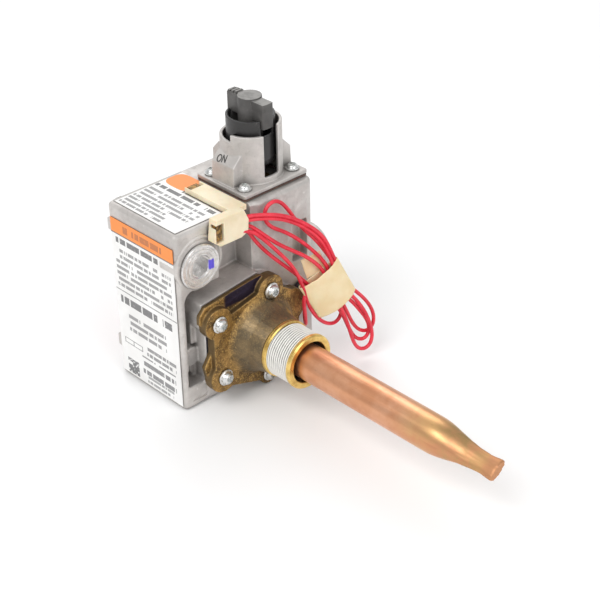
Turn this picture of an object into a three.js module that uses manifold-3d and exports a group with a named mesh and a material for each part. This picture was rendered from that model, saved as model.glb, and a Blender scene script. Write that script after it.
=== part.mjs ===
// Water-heater gas valve: a combination gas control with a rod-and-tube thermostat.
// Millimetres. +X runs along the immersion tube into the tank, +Z is up, and the origin is the
// centre of the die-cast body's flat bottom face.
import * as THREE from 'three';
import { mergeVertices } from 'three/addons/utils/BufferGeometryUtils.js';
import Module from 'manifold-3d';

const wasm = await Module();
wasm.setup();

// ---------------------------------------------------------------- driving dimensions
const BODY = { x: 24.5, y: 42, height: 94, corner: 2.5, bevel: 1.2 };
const SHOULDER = { x: 26.5, y: 2.5, corner: 6 };          // thicker half of the body, under the tower
const TUBE_AXIS = { y: -2.6, z: 30.6 };                   // thermostat rod, shank and dial share it
const COCK_AXIS = { x: 5.2, y: 21.4 };                    // gas cock, knob and pilot valve share it
const REGULATOR_AXIS = { y: -29.5, z: 75 };
const INLET_AXIS = { x: 12.5, z: 46.5 };
const GAP = 0.3;                                          // clearance between neighbouring pieces

const POCKET_FLOOR = 13;                                  // X of the cast pockets' floor
const SEAT_FACE = 28.5;                                   // X of the machined face the flange bolts to
const FLANGE = { back: 29.6, step: 32, front: 35 };
const RING = { rear: 50.5, threads: 53.2, end: 65.4, front: 68.4, radius: 13.5 };
const THREAD_RADIUS = 13.2;                               // 3/4 inch taper pipe thread
const TUBE = { radius: 8.5, wall: 0.8, start: 42, taper: 146, neck: 171, tip: 179.3 };
const TUBE_CRIMP_TURN = 0.62;                             // turn of the flattened end about the tube

const CHAMBER = { floor: 3, radius: 14.5 };               // thermostat chamber behind the flange
const PARTITION = { back: -2, front: 3 };
const LEVER_PIVOT = { x: 10, z: 41.5 };
const LEVER_PIN = { radius: 1.5, reach: 11.4, fit: 0.08 };
const MAIN_VALVE_Z = 20.5;
const SAFETY_SEAT = { bottom: 34, top: 38, radius: 5.5 };
const SAFETY_RADIUS = 8.5;
const CORE_RADIUS = 9.6;

const PLATE = { west: -11.8, east: 22.2, south: 1.5, north: 41.2, bottom: 95.2, top: 97.2 };
const TOWER = { radius: 14.5, bore: 13, slot: 4.35, slotFloor: 100 };
const RIM = { low: 117.5, middle: 121, high: 124 };
const KNOB = { reach: 12.6, half: 4, post: 5.7, top: 136, wingTop: 134.4, wingBottom: 126, foot: 123 };
const SLEEVE = { radius: 11.5, wall: 1.3, bottom: 104, top: 127.3 };

const COVER = { inner: -24.8, outer: -27.3 };
const DIAL = { radius: 22, back: -28.3, face: -36, grip: -41, notches: 16 };
const CONNECTOR = { back: 25.4, front: 30.5, top: 97, floor: 94.3 };
const WIRE_RADIUS = 0.95;

// ---------------------------------------------------------------- materials
const finishes = {
  cast_aluminium: [0xc4bcb6, 0.55, 0.6],
  zinc_screw: [0xc9cdcc, 0.35, 0.9],
  aged_brass: [0x7d6138, 0.5, 0.8],
  copper: [0xc88a66, 0.3, 0.95],
  steel: [0xa9abad, 0.35, 0.9],
  brass: [0xc99b45, 0.3, 0.9],
  black_plastic: [0x2c2b2b, 0.5, 0],
  knob_plastic: [0x585653, 0.55, 0],
  dial_plastic: [0xb43a2e, 0.5, 0],
  rubber: [0x1f1d1f, 0.8, 0],
  fibre_gasket: [0x8b4a3c, 0.8, 0],
  label: [0xf4f3f0, 0.5, 0],
  nylon: [0xeadfc4, 0.45, 0],
  red_insulation: [0xd8323f, 0.35, 0],
  masking_tape: [0xead2a2, 0.7, 0],
  plug_metal: [0xbfbdba, 0.4, 0.85],
};

// ---------------------------------------------------------------- geometry helpers
// Each helper draws along local +Z; `orient` turns +Z to the named world axis.
function orient(geometry, axis) {
  const columns = {
    x: [[0, 1, 0], [0, 0, 1], [1, 0, 0]],
    y: [[0, 0, 1], [1, 0, 0], [0, 1, 0]],
    z: [[1, 0, 0], [0, 1, 0], [0, 0, 1]],
  }[axis].map((column) => new THREE.Vector3(...column));
  return geometry.applyMatrix4(new THREE.Matrix4().makeBasis(...columns));
}

function shift(geometry, { x = 0, y = 0, z = 0 }) {
  return geometry.translate(x, y, z);
}

// Shared vertices only, no zero-area triangles, faces turned outward.
function weld(source) {
  const geometry = source.clone();
  geometry.deleteAttribute('normal');
  geometry.deleteAttribute('uv');
  const merged = mergeVertices(geometry, 1e-3);
  const positions = merged.getAttribute('position');
  const index = merged.getIndex().array;
  const kept = [];
  const [a, b, c] = [new THREE.Vector3(), new THREE.Vector3(), new THREE.Vector3()];
  let volume = 0;
  for (let i = 0; i < index.length; i += 3) {
    const [p, q, r] = [index[i], index[i + 1], index[i + 2]];
    if (p === q || q === r || r === p) continue;
    kept.push(p, q, r);
    a.fromBufferAttribute(positions, p);
    b.fromBufferAttribute(positions, q);
    c.fromBufferAttribute(positions, r);
    volume += a.dot(b.cross(c));
  }
  if (volume < 0) kept.reverse();
  merged.setIndex(kept);
  return merged;
}

function solid(geometry) {
  const welded = weld(geometry);
  return new wasm.Manifold(new wasm.Mesh({
    numProp: 3,
    vertProperties: new Float32Array(welded.getAttribute('position').array),
    triVerts: new Uint32Array(welded.getIndex().array),
  }));
}

function fromSolid(manifold) {
  const result = manifold.getMesh();
  const geometry = new THREE.BufferGeometry();
  geometry.setAttribute('position', new THREE.BufferAttribute(new Float32Array(result.vertProperties), 3));
  geometry.setIndex([...result.triVerts]);
  return geometry;
}

const join = (first, ...others) => others.reduce((sum, next) => sum.add(next), first);
const cut = (first, ...tools) => tools.reduce((left, tool) => left.subtract(tool), first);

function drum(axis, radius, from, to, centre, sides = 24, endRadius = radius) {
  const geometry = new THREE.CylinderGeometry(endRadius, radius, to - from, sides);
  geometry.rotateX(Math.PI / 2).translate(0, 0, (from + to) / 2);
  return shift(orient(geometry, axis), centre);
}

function box(x0, x1, y0, y1, z0, z1) {
  const geometry = new THREE.BoxGeometry(x1 - x0, y1 - y0, z1 - z0);
  return geometry.translate((x0 + x1) / 2, (y0 + y1) / 2, (z0 + z1) / 2);
}

// Closed profile of [radius, along] pairs turned round the axis.
function turned(axis, profile, centre, sides = 24) {
  const points = profile.map(([radius, along]) => new THREE.Vector2(radius, along));
  const geometry = new THREE.LatheGeometry(points, sides).rotateX(Math.PI / 2);
  return shift(orient(geometry, axis), centre);
}

// Rectangle with its own radius at each corner, from the low-low one round anticlockwise.
function roundedOutline(u0, u1, v0, v1, radii) {
  const list = typeof radii === 'number' ? Array(4).fill(radii) : radii;
  const corners = [[u0, v0, 1, 1], [u1, v0, -1, 1], [u1, v1, -1, -1], [u0, v1, 1, -1]];
  const shape = new THREE.Shape();
  corners.forEach(([u, v, inU, inV], i) => {
    const start = Math.PI + (i * Math.PI) / 2;
    const radius = list[i];
    if (radius > 0) shape.absarc(u + inU * radius, v + inV * radius, radius, start, start + Math.PI / 2);
    else if (i === 0) shape.moveTo(u, v);
    else shape.lineTo(u, v);
  });
  shape.closePath();
  return shape;
}

function outline(points) {
  return new THREE.Shape(points.map(([u, v]) => new THREE.Vector2(u, v)));
}

function slab(axis, shape, from, to, bevel = 0, curveSegments = 5) {
  const geometry = new THREE.ExtrudeGeometry(shape, {
    depth: to - from - 2 * bevel,
    bevelEnabled: bevel > 0,
    bevelThickness: bevel,
    bevelSize: bevel,
    bevelOffset: -bevel,
    bevelSegments: 1,
    curveSegments,
  });
  return orient(geometry.translate(0, 0, from + bevel), axis);
}

// Round wire or rod along a smooth curve through the points.
function wire(points, radius, sides, steps) {
  const curve = new THREE.CatmullRomCurve3(points.map((point) => new THREE.Vector3(...point)));
  const section = new THREE.Shape();
  section.absarc(0, 0, radius, 0, 2 * Math.PI);
  return new THREE.ExtrudeGeometry(section, { extrudePath: curve, steps, curveSegments: sides / 2 });
}

function coilSpring(axis, { radius, wireRadius, from, to, turns }, centre) {
  const perTurn = 8;
  const points = [];
  for (let i = 0; i <= turns * perTurn; i += 1) {
    const angle = (i / perTurn) * 2 * Math.PI;
    const along = THREE.MathUtils.lerp(from + wireRadius, to - wireRadius, i / (turns * perTurn));
    points.push([radius * Math.cos(angle), radius * Math.sin(angle), along]);
  }
  return shift(orient(wire(points, wireRadius, 6, turns * 8), axis), centre);
}

// ---------------------------------------------------------------- assembly
const group = new THREE.Group();

function add(name, finish, shape) {
  const [color, roughness, metalness] = finishes[finish];
  const geometry = shape.isBufferGeometry ? weld(shape) : fromSolid(shape);
  geometry.computeVertexNormals();
  const mesh = new THREE.Mesh(geometry, new THREE.MeshStandardMaterial({ color, roughness, metalness }));
  mesh.name = name;
  group.add(mesh);
}

// Pan-head screw pointing along -axis; `seat` is where its head meets the part it clamps.
function screw(name, axis, seat, centre, { head, height, shank, length }, flip = 1) {
  const end = seat - flip * length;
  const profile = [
    [0, end],
    [shank, end],
    [shank, seat + flip * GAP],
    [head, seat + flip * GAP],
    [head, seat + flip * (GAP + 0.35 * height)],
    [0.72 * head, seat + flip * (GAP + 0.85 * height)],
    [0, seat + flip * (GAP + height)],
  ];
  add(name, 'zinc_screw', turned(axis, profile, centre, 12));
}

const FLANGE_SCREW = { head: 4, height: 3, shank: 2.2, length: 15 };
const PLATE_SCREW = { head: 3.3, height: 2.4, shank: 1.8, length: 12 };
const COVER_SCREW = { head: 3.6, height: 2.2, shank: 1.8, length: 11 };
const flangeScrews = { upper_left: [-27.7, 47.4], upper_right: [4.4, 51.7], lower_left: [-25.7, 17.3],
  lower_right: [1.8, 6.6] };
const plateScrews = { front: [16.8, 6.4], right: [16.8, 36.4], left: [-6.4, 6.4], back: [-6.4, 36.4] };
const coverScrews = { lower_left: [-32.5, 8.5], lower_right: [32.5, 8.5], upper_left: [-32.5, 88],
  upper_right: [32.5, 88] };

// ---------------------------------------------------------------- flange outline
// Y,Z outlines. The rear plate is a straight-topped slab; the front plate has a lobe at each screw.
const rearPlate = () => outline([[-36.8, 49], [-36.6, 53.5], [-33, 57.2], [0.5, 60.4], [4.8, 58.4],
  [13.5, 50.4], [16.5, 45.5], [24, 41], [27, 35], [26.5, 28], [20, 20], [-8, 12], [-27, 9.5],
  [-33, 14.5], [-35.2, 25], [-30, 33], [-29.8, 44]]);
const lobes = [[-27.7, 47.4, 8], [4.4, 51.7, 8], [-25.7, 17.3, 8.2], [1.8, 6.6, 6], [17, 37, 9.6]];

function lobedPlate(from, to, grow = 0) {
  const web = [[-31, 47], [6, 55], [24, 42], [22, 25], [5, 4], [-1.5, 3.6], [-27, 12], [-31, 20]];
  const discs = lobes.map(([y, z, radius]) => solid(drum('x', radius + grow, from, to, { y, z }, 16)));
  return join(solid(slab('x', outline(web), from, to)), ...discs);
}

// ---------------------------------------------------------------- valve housing
function valveHousing() {
  const main = solid(slab('z', roundedOutline(-BODY.x, BODY.x, -BODY.y, 12, BODY.corner),
    0, BODY.height, BODY.bevel, 3));
  const shoulder = solid(slab('z', roundedOutline(-BODY.x, SHOULDER.x, SHOULDER.y, BODY.y,
    [BODY.corner, SHOULDER.corner, SHOULDER.corner, BODY.corner]), 0, BODY.height, BODY.bevel));

  // Cast pockets on the tube face.
  const outside = SHOULDER.x + 5;
  const flangePocket = solid(slab('x', roundedOutline(-38.5, SHOULDER.y, 12, 63.5, [3, 0, 0, 6]),
    POCKET_FLOOR, outside));
  const middlePocket = solid(box(POCKET_FLOOR, outside, -17.5, SHOULDER.y, 55, 82));
  const upperPocket = solid(box(POCKET_FLOOR, outside, -12, SHOULDER.y, 80, BODY.height + 1));
  const lowerSlot = solid(slab('x', roundedOutline(-39, -29, 12, 22, 1.5), POCKET_FLOOR + 4, outside, 0, 2));
  const plugPin = solid(drum('x', 1.1, 20, outside, { y: -38.2, z: 13.4 }, 10));
  const cornerGroove = join(solid(box(23.6, outside, -37, -27.8, 3.2, 4.2)),
    solid(box(23.6, outside, -28.8, -27.8, 3.2, 9)));
  const shoulderSlot = solid(slab('x', roundedOutline(26.5, 36, 54, 75, 1.5), 21.5, outside, 0, 2));
  const pocketed = cut(join(main, shoulder), flangePocket, middlePocket, upperPocket, cornerGroove,
    shoulderSlot);

  // Bosses standing in the pockets and on the faces.
  const seat = join(lobedPlate(POCKET_FLOOR - 1, SEAT_FACE, -1.2),
    solid(slab('x', outline([[-33, 46], [-32.5, 56.6], [1.5, 60.2], [12, 50], [20, 40]]),
      POCKET_FLOOR - 1, SEAT_FACE)));
  const plugBoss = solid(drum('x', 12.4, POCKET_FLOOR - 1, 25, REGULATOR_AXIS, 24));
  const castLump = solid(drum('x', 6.4, POCKET_FLOOR - 1, 22.4, { y: -34.6, z: 27 }, 12, 5));
  const castRib = solid(box(POCKET_FLOOR - 1, 21.5, -34, -29, 33, 46));
  const shoulderPad = solid(drum('x', 10, 20, 27.1, { y: 35.5, z: 74.5 }, 24))
    .intersect(solid(box(19, 28, 20, 36, 75.3, 90)));
  const padPin = solid(drum('x', 1.7, 24, 27.4, { y: 26.2, z: 83.2 }, 10));
  const castMark = solid(turned('x', [[4.3, 26], [5.6, 26], [5.6, 26.9], [4.3, 26.9], [4.3, 26]],
    { y: 18.7, z: 69.6 }, 20));
  const inletBoss = solid(drum('y', 13.8, 40, 53, INLET_AXIS, 28));
  const edgeLugs = [82, 18].map((z) => solid(box(-BODY.x - 1.3, -BODY.x + 1, -BODY.y + 0.4, -BODY.y + 5,
    z - 3.2, z + 3.2)));
  const bossed = join(pocketed, seat, plugBoss, castLump, castRib, shoulderPad, padPin, castMark,
    inletBoss, ...edgeLugs);

  // Thermostat chamber behind the flange, outlet chamber behind the front cover.
  const chamber = solid(drum('x', CHAMBER.radius, CHAMBER.floor, outside, TUBE_AXIS, 24));
  const outletChamber = solid(slab('x', roundedOutline(-32, 12, 12, 54, 5), -BODY.x - 1, PARTITION.back));
  const shaftHole = solid(drum('x', 3.5, PARTITION.back - 1, PARTITION.front + 1, TUBE_AXIS, 12));
  const mainSeat = solid(drum('x', 4.2, PARTITION.back - 1, PARTITION.front + 1,
    { y: TUBE_AXIS.y, z: MAIN_VALVE_Z }, 12));
  const outlet = solid(drum('z', 8.4, -1, 14, { x: -13.5, y: -14 }, 24));

  // Gas cock bore with the inlet, then the pilot safety valve below it.
  const cockBore = solid(drum('z', CORE_RADIUS + GAP, SAFETY_SEAT.top, BODY.height + 1, COCK_AXIS, 24));
  const inlet = solid(drum('y', 9, 33, 54, INLET_AXIS, 24));
  const inletPort = solid(drum('y', 4, 24, 34, INLET_AXIS, 12));
  const safetySeat = solid(drum('z', SAFETY_SEAT.radius, SAFETY_SEAT.bottom - 1, SAFETY_SEAT.top + 1,
    COCK_AXIS, 16));
  const safetyBore = solid(drum('z', SAFETY_RADIUS, -1, SAFETY_SEAT.bottom, COCK_AXIS, 20));
  const crossPassage = solid(drum('y', 3, 5, 18, { x: 8, z: 27 }, 12));

  // Regulator bore through from the front face to the tube face.
  const regulatorBore = join(
    solid(drum('x', 10, -BODY.x - 1, -14, REGULATOR_AXIS, 20)),
    solid(drum('x', 7.8, -15, 16, REGULATOR_AXIS, 20)),
    solid(drum('x', 9.6, 15, 27, REGULATOR_AXIS, 20)));
  const regulatorPassage = solid(drum('z', 2.5, 50, 68, { x: -19, y: REGULATOR_AXIS.y }, 12));

  // Blind holes for the screws and the lead grommet.
  const pilot = (radius) => radius + 1.6 * GAP;
  const holes = [
    ...Object.values(flangeScrews).map(([y, z]) => solid(drum('x', pilot(FLANGE_SCREW.shank), 19, 30,
      { y, z }, 8))),
    ...Object.values(plateScrews).map(([x, y]) => solid(drum('z', pilot(PLATE_SCREW.shank), 84, 95,
      { x, y }, 8))),
    ...Object.values(coverScrews).map(([y, z]) => solid(drum('x', pilot(COVER_SCREW.shank), -26, -15,
      { y, z }, 8))),
    solid(drum('x', 2.6, 20, 28, { y: 30, z: 39 }, 12)),
    solid(drum('y', pilot(LEVER_PIN.radius), TUBE_AXIS.y - LEVER_PIN.reach - GAP,
      TUBE_AXIS.y + LEVER_PIN.reach + GAP, LEVER_PIVOT, 12)),
  ];
  return cut(bossed, lowerSlot, plugPin, chamber, outletChamber, shaftHole, mainSeat, outlet, cockBore,
    inlet, inletPort, safetySeat, safetyBore, crossPassage, regulatorBore, regulatorPassage, ...holes);
}
add('valve_housing', 'cast_aluminium', valveHousing());

// ---------------------------------------------------------------- gas cock tower
function plateOutline(inset) {
  return roundedOutline(PLATE.west + inset, PLATE.east - inset, PLATE.south + inset, PLATE.north - inset, 1);
}

function screwClearances(from, to) {
  return Object.values(plateScrews).map(([x, y]) => solid(drum('z', PLATE_SCREW.shank + GAP, from, to,
    { x, y }, 10)));
}

// Slice of the space round the cock axis, between two angles in degrees.
function sector(startDegrees, endDegrees, from, to) {
  const reach = 18;
  const count = Math.ceil((endDegrees - startDegrees) / 30);
  const points = [[0, 0]];
  for (let i = 0; i <= count; i += 1) {
    const angle = THREE.MathUtils.degToRad(THREE.MathUtils.lerp(startDegrees, endDegrees, i / count));
    points.push([reach * Math.cos(angle), reach * Math.sin(angle)]);
  }
  return solid(shift(slab('z', outline(points), from, to), COCK_AXIS));
}

function cockTower() {
  const plate = solid(slab('z', plateOutline(0), PLATE.bottom, PLATE.top, 0.5, 2));
  const barrel = solid(drum('z', TOWER.radius + 0.4, PLATE.bottom + 0.5, RIM.high, COCK_AXIS, 32, TOWER.radius));
  // Index block: a plinth whose top slopes up to the barrel. Drawn in (outward, Z), extruded sideways.
  const block = outline([[11, 96], [18.4, 96], [17.9, 107], [13.4, 111.6], [11, 111.6]]);
  const blocks = [[-90, 7.5, 1], [90, 7.5, 1], [180, 9.5, 0.93]].map(([degrees, half, reachScale]) => {
    const geometry = new THREE.ExtrudeGeometry(block, { depth: 2 * half, bevelEnabled: false });
    geometry.translate(0, 0, -half).rotateX(Math.PI / 2);
    geometry.scale(reachScale, 1, 1).rotateZ(THREE.MathUtils.degToRad(degrees));
    return solid(shift(geometry, COCK_AXIS));
  });
  const bore = solid(drum('z', TOWER.bore, PLATE.bottom - 1, RIM.high + 1, COCK_AXIS, 32));
  const slot = solid(box(COCK_AXIS.x, COCK_AXIS.x + 20, COCK_AXIS.y - TOWER.slot, COCK_AXIS.y + TOWER.slot,
    TOWER.slotFloor, RIM.high + 1));
  const lowRim = sector(180, 278, RIM.low, RIM.high + 1);
  const middleRim = sector(276, 345, RIM.middle, RIM.high + 1);
  return cut(join(plate, barrel, ...blocks), bore, slot, lowRim, middleRim,
    ...screwClearances(PLATE.bottom - 1, PLATE.top + 1));
}
add('cock_tower', 'cast_aluminium', cockTower());

const gasket = solid(slab('z', plateOutline(0.2), BODY.height + GAP, PLATE.bottom - GAP, 0, 2));
add('tower_gasket', 'fibre_gasket', cut(gasket, solid(drum('z', 13, 93, 96, COCK_AXIS, 28)),
  ...screwClearances(93, 96)));

for (const [place, [x, y]] of Object.entries(plateScrews)) {
  screw(`tower_screw_${place}`, 'z', PLATE.top, { x, y }, PLATE_SCREW);
}

// ---------------------------------------------------------------- gas cock, knob and pilot stem
function gasCockKnob() {
  const wingShape = outline([
    [-KNOB.reach, -KNOB.half], [KNOB.reach, -KNOB.half], [KNOB.reach, KNOB.half], [-KNOB.reach, KNOB.half]]);
  const wings = solid(shift(slab('z', wingShape, KNOB.wingBottom, KNOB.wingTop, 0.6, 2), COCK_AXIS));
  const foot = (side, bottom) => {
    const inner = COCK_AXIS.x + side * 9.4;
    const outer = COCK_AXIS.x + side * KNOB.reach;
    return solid(box(Math.min(inner, outer), Math.max(inner, outer), COCK_AXIS.y - KNOB.half,
      COCK_AXIS.y + KNOB.half, bottom, KNOB.wingBottom + 1));
  };
  const round = solid(drum('z', KNOB.reach, 100, KNOB.top, COCK_AXIS, 32));
  const post = solid(turned('z', [[0, 112], [KNOB.post, 112], [KNOB.post, KNOB.top - 0.5],
    [KNOB.post - 0.5, KNOB.top], [0, KNOB.top]], COCK_AXIS, 24));
  const springHall = solid(turned('z', [[0, 111], [4.6, 111], [4.6, 119], [0, 119]], COCK_AXIS, 20));
  const serrations = [0, 1, 2].map((i) => solid(box(COCK_AXIS.x - 11.4 + 2.4 * i, COCK_AXIS.x - 10 + 2.4 * i,
    COCK_AXIS.y - KNOB.half, COCK_AXIS.y + KNOB.half, KNOB.wingTop - 1, KNOB.wingTop + 0.9)));
  const bar = join(wings, foot(1, KNOB.foot), foot(-1, 118.2), ...serrations).intersect(round);
  return cut(join(bar, post), springHall);
}
add('gas_cock_knob', 'knob_plastic', gasCockKnob());

function knobSleeve() {
  const { radius, wall, bottom, top } = SLEEVE;
  const cup = solid(turned('z', [[0, bottom], [radius - 1.2, bottom], [radius, bottom + 3], [radius, top],
    [radius - wall, top], [radius - wall, bottom + 3], [0, bottom + 3]], COCK_AXIS, 28));
  const keyways = [1, -1].map((side) => solid(box(
    Math.min(COCK_AXIS.x + side * 9, COCK_AXIS.x + side * 14),
    Math.max(COCK_AXIS.x + side * 9, COCK_AXIS.x + side * 14),
    COCK_AXIS.y - KNOB.half - GAP, COCK_AXIS.y + KNOB.half + GAP, 112, top + 1)));
  // Shallow arched window in the wall, a quarter turn from the keyways.
  const window = solid(drum('y', 5, COCK_AXIS.y - 14, COCK_AXIS.y - 8, { x: COCK_AXIS.x + 4, z: 116 }, 16));
  const stemHole = solid(drum('z', 2.6, bottom - 1, bottom + 4, COCK_AXIS, 16));
  const hub = solid(drum('z', 6.4, 98, bottom + 0.5, COCK_AXIS, 24));
  const tongue = solid(box(COCK_AXIS.x - 6, COCK_AXIS.x + 6, COCK_AXIS.y - 1.6, COCK_AXIS.y + 1.6, 90.3, 98.5));
  const boredHub = cut(join(hub, tongue), solid(drum('z', 2.6, 85, bottom + 1, COCK_AXIS, 16)));
  return join(cut(cup, ...keyways, window, stemHole), boredHub);
}
add('knob_sleeve', 'black_plastic', knobSleeve());

add('knob_spring', 'steel', coilSpring('z', { radius: 3.85, wireRadius: 0.42, from: 107.4, to: 118.6, turns: 4 },
  COCK_AXIS));

function cockCore() {
  const body = solid(turned('z', [[0, 38.6], [CORE_RADIUS - 1, 38.6], [CORE_RADIUS, 42],
    [CORE_RADIUS, 92.6], [0, 92.6]], COCK_AXIS, 28));
  const stemBore = solid(drum('z', 3.2, 37, 94, COCK_AXIS, 16));
  const crossPort = solid(drum('y', 3.6, COCK_AXIS.y - 1, COCK_AXIS.y + 12,
    { x: COCK_AXIS.x + 3.6, z: INLET_AXIS.z }, 12));
  const tongueSlot = solid(box(COCK_AXIS.x - 6.4, COCK_AXIS.x + 6.4, COCK_AXIS.y - 2, COCK_AXIS.y + 2, 90, 94));
  return cut(body, stemBore, crossPort, tongueSlot);
}
add('cock_core', 'brass', cockCore());

// Stem pressed into the knob's post; its foot opens the pilot safety valve.
add('pilot_stem', 'steel', turned('z', [[0, SAFETY_SEAT.bottom + 0.3], [2, SAFETY_SEAT.bottom + 0.3],
  [2, 118.7], [0, 118.7]], COCK_AXIS, 14));

// ---------------------------------------------------------------- pilot safety valve
add('safety_valve_disc', 'rubber', turned('z', [[0, 30.6], [7, 30.6], [7, 33.4], [2.4, 33.4], [2.4, 33.9],
  [0, 33.9]], COCK_AXIS, 24));
add('safety_spring', 'steel', coilSpring('z', { radius: 5, wireRadius: 0.5, from: 20.5, to: 30.3, turns: 4 },
  COCK_AXIS));
add('safety_magnet', 'brass', turned('z', [[0, 1.2], [SAFETY_RADIUS - 0.4, 1.2], [SAFETY_RADIUS - 0.4, 6],
  [7.2, 6], [7.2, 20.2], [0, 20.2]], COCK_AXIS, 20));

// ---------------------------------------------------------------- shank flange
function shankFlange() {
  const plates = join(lobedPlate(FLANGE.back, FLANGE.front),
    solid(slab('x', rearPlate(), FLANGE.back, FLANGE.step)));
  const topGroove = solid(slab('x', outline([[-24, 53.6], [-20, 57], [-6, 70], [2, 70], [-5, 56.8]]),
    FLANGE.step - 0.2, FLANGE.step + 1.3));
  const neck = solid(turned('x', [[8, FLANGE.back], [20.5, FLANGE.back], [20.5, FLANGE.front],
    [18, FLANGE.front + 2.2], [15.6, FLANGE.front + 7.5], [14, RING.rear],
    [14.2, RING.rear], [14.2, RING.threads], [THREAD_RADIUS, RING.threads + 0.2],
    [THREAD_RADIUS - 0.4, RING.end], [RING.radius, RING.end + 0.2], [RING.radius, RING.front - 0.8],
    [RING.radius - 0.8, RING.front], [8, RING.front], [8, FLANGE.back]], TUBE_AXIS, 28));
  const bore = solid(drum('x', TUBE.radius + 1.4 * GAP, 40, RING.front + 1, TUBE_AXIS, 24));
  const mouth = solid(drum('x', 10.3, RING.front - 8, RING.front + 1, TUBE_AXIS, 24));
  const rodBore = solid(drum('x', 5.5, FLANGE.back - 1, 41, TUBE_AXIS, 16));
  const clearances = Object.values(flangeScrews).map(([y, z]) => solid(drum('x', FLANGE_SCREW.shank + GAP,
    FLANGE.back - 1, FLANGE.front + 1, { y, z }, 10)));
  const spotFaces = Object.values(flangeScrews).map(([y, z]) => solid(drum('x', FLANGE_SCREW.head + 0.5,
    FLANGE.front, FLANGE.front + 8, { y, z }, 16)));
  return cut(join(plates, neck), topGroove, bore, mouth, rodBore, ...clearances, ...spotFaces);
}
add('shank_flange', 'aged_brass', shankFlange());

function flangeGasket() {
  const sheet = lobedPlate(SEAT_FACE + GAP, FLANGE.back - GAP, -1.5);
  const opening = solid(drum('x', 14, 28, 30, TUBE_AXIS, 20));
  const clearances = Object.values(flangeScrews).map(([y, z]) => solid(drum('x', FLANGE_SCREW.shank + GAP,
    28, 30, { y, z }, 8)));
  return cut(sheet, opening, ...clearances);
}
add('flange_gasket', 'rubber', flangeGasket());

for (const [place, [y, z]] of Object.entries(flangeScrews)) {
  screw(`flange_screw_${place}`, 'x', FLANGE.front, { y, z }, FLANGE_SCREW);
}

// ---------------------------------------------------------------- immersion tube, rod and cut-off
// A tube turned round X whose closed end is pinched flat, then flared a little at the tip.
function immersionTube() {
  const { radius, wall, start, taper, neck, tip } = TUBE;
  const profile = [
    [radius - wall, start], [radius, start], [radius, taper - 8], [radius - 0.1, taper], [7.8, taper + 5],
    [6.3, taper + 13], [5, neck - 6], [4.3, neck], [4.4, tip - 3], [4.8, tip - 0.6], [4.6, tip],
  ];
  const inside = [[radius - wall, taper], [radius - wall - 2, taper + 8], [1.5, neck - 6], [0, neck - 4]];
  return turned('x', [[0, tip], ...profile.reverse(), ...inside], {}, 24);
}

function pinch(geometry, from, to, across) {
  geometry.rotateX(-TUBE_CRIMP_TURN);
  const positions = geometry.getAttribute('position');
  for (let i = 0; i < positions.count; i += 1) {
    const share = THREE.MathUtils.smoothstep(positions.getX(i), from, to);
    positions.setY(i, positions.getY(i) * (1 + 0.08 * share));
    positions.setZ(i, positions.getZ(i) * (1 - across * share));
  }
  return geometry.rotateX(TUBE_CRIMP_TURN);
}
add('immersion_tube', 'copper', shift(pinch(immersionTube(), TUBE.taper + 4, TUBE.neck, 0.5), TUBE_AXIS));

add('thermostat_rod', 'steel', turned('x', [[0, 12.3], [2.4, 12.3], [2.4, 112], [0, 112]], TUBE_AXIS, 14));
add('thermal_cutoff', 'brass', turned('x', [[0, 113.5], [3.4, 113.5], [3.6, 115], [3.6, 136], [2, 139],
  [0, 139]], TUBE_AXIS, 16));

// ---------------------------------------------------------------- thermostat mechanism
function snapLever() {
  const { x, z } = LEVER_PIVOT;
  const half = 4;
  const plate = solid(box(x - 0.9, x + 0.9, TUBE_AXIS.y - half, TUBE_AXIS.y + half, 17.6, z));
  const barrel = solid(drum('y', 2.8, TUBE_AXIS.y - half, TUBE_AXIS.y + half, LEVER_PIVOT, 20));
  const pad = solid(drum('x', 2, x, x + 2, TUBE_AXIS, 14));
  const bore = solid(drum('y', LEVER_PIN.radius + LEVER_PIN.fit, TUBE_AXIS.y - 6, TUBE_AXIS.y + 6, LEVER_PIVOT, 20));
  return cut(join(plate, barrel, pad), bore);
}
add('snap_lever', 'steel', snapLever());
add('lever_pin', 'steel', drum('y', LEVER_PIN.radius, TUBE_AXIS.y - LEVER_PIN.reach,
  TUBE_AXIS.y + LEVER_PIN.reach, LEVER_PIVOT, 20));

add('main_valve_disc', 'rubber', turned('x', [[0, -5.8], [1.8, -5.8], [1.8, -4.2], [6, -4.2], [6, -2.3],
  [1.6, -2.3], [1.6, 8.8], [0, 8.8]], { y: TUBE_AXIS.y, z: MAIN_VALVE_Z }, 20));
add('main_valve_spring', 'steel', coilSpring('x', { radius: 4.2, wireRadius: 0.45, from: -21.6, to: -4.5, turns: 5 },
  { y: TUBE_AXIS.y, z: MAIN_VALVE_Z }));

// ---------------------------------------------------------------- pressure regulator
function regulatorPlug() {
  const plug = solid(turned('x', [[0, 15.3], [9.2, 15.3], [9.2, 25.3], [11, 25.3], [11, 26.2], [10.3, 26.6],
    [9.4, 26.6], [9, 26.2], [8.4, 26.2], [8, 26.6], [0, 26.6]], REGULATOR_AXIS, 28));
  const socket = solid(drum('x', 5.6, 21, 28, REGULATOR_AXIS, 6));
  return cut(plug, socket);
}
add('regulator_plug', 'plug_metal', regulatorPlug());
add('regulator_adjuster', 'brass', turned('x', [[0, 11.4], [7.3, 11.4], [7.3, 14.8], [3, 14.8], [3, 13.4],
  [0, 13.4]], REGULATOR_AXIS, 20));
add('regulator_spring', 'steel', coilSpring('x', { radius: 5, wireRadius: 0.5, from: -13.1, to: 9.6, turns: 6 },
  REGULATOR_AXIS));
add('regulator_diaphragm', 'rubber', turned('x', [[7, -15.6], [9.6, -15.6], [9.6, -14.4], [7, -14.4], [7, -15.6]],
  REGULATOR_AXIS, 20));
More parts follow.
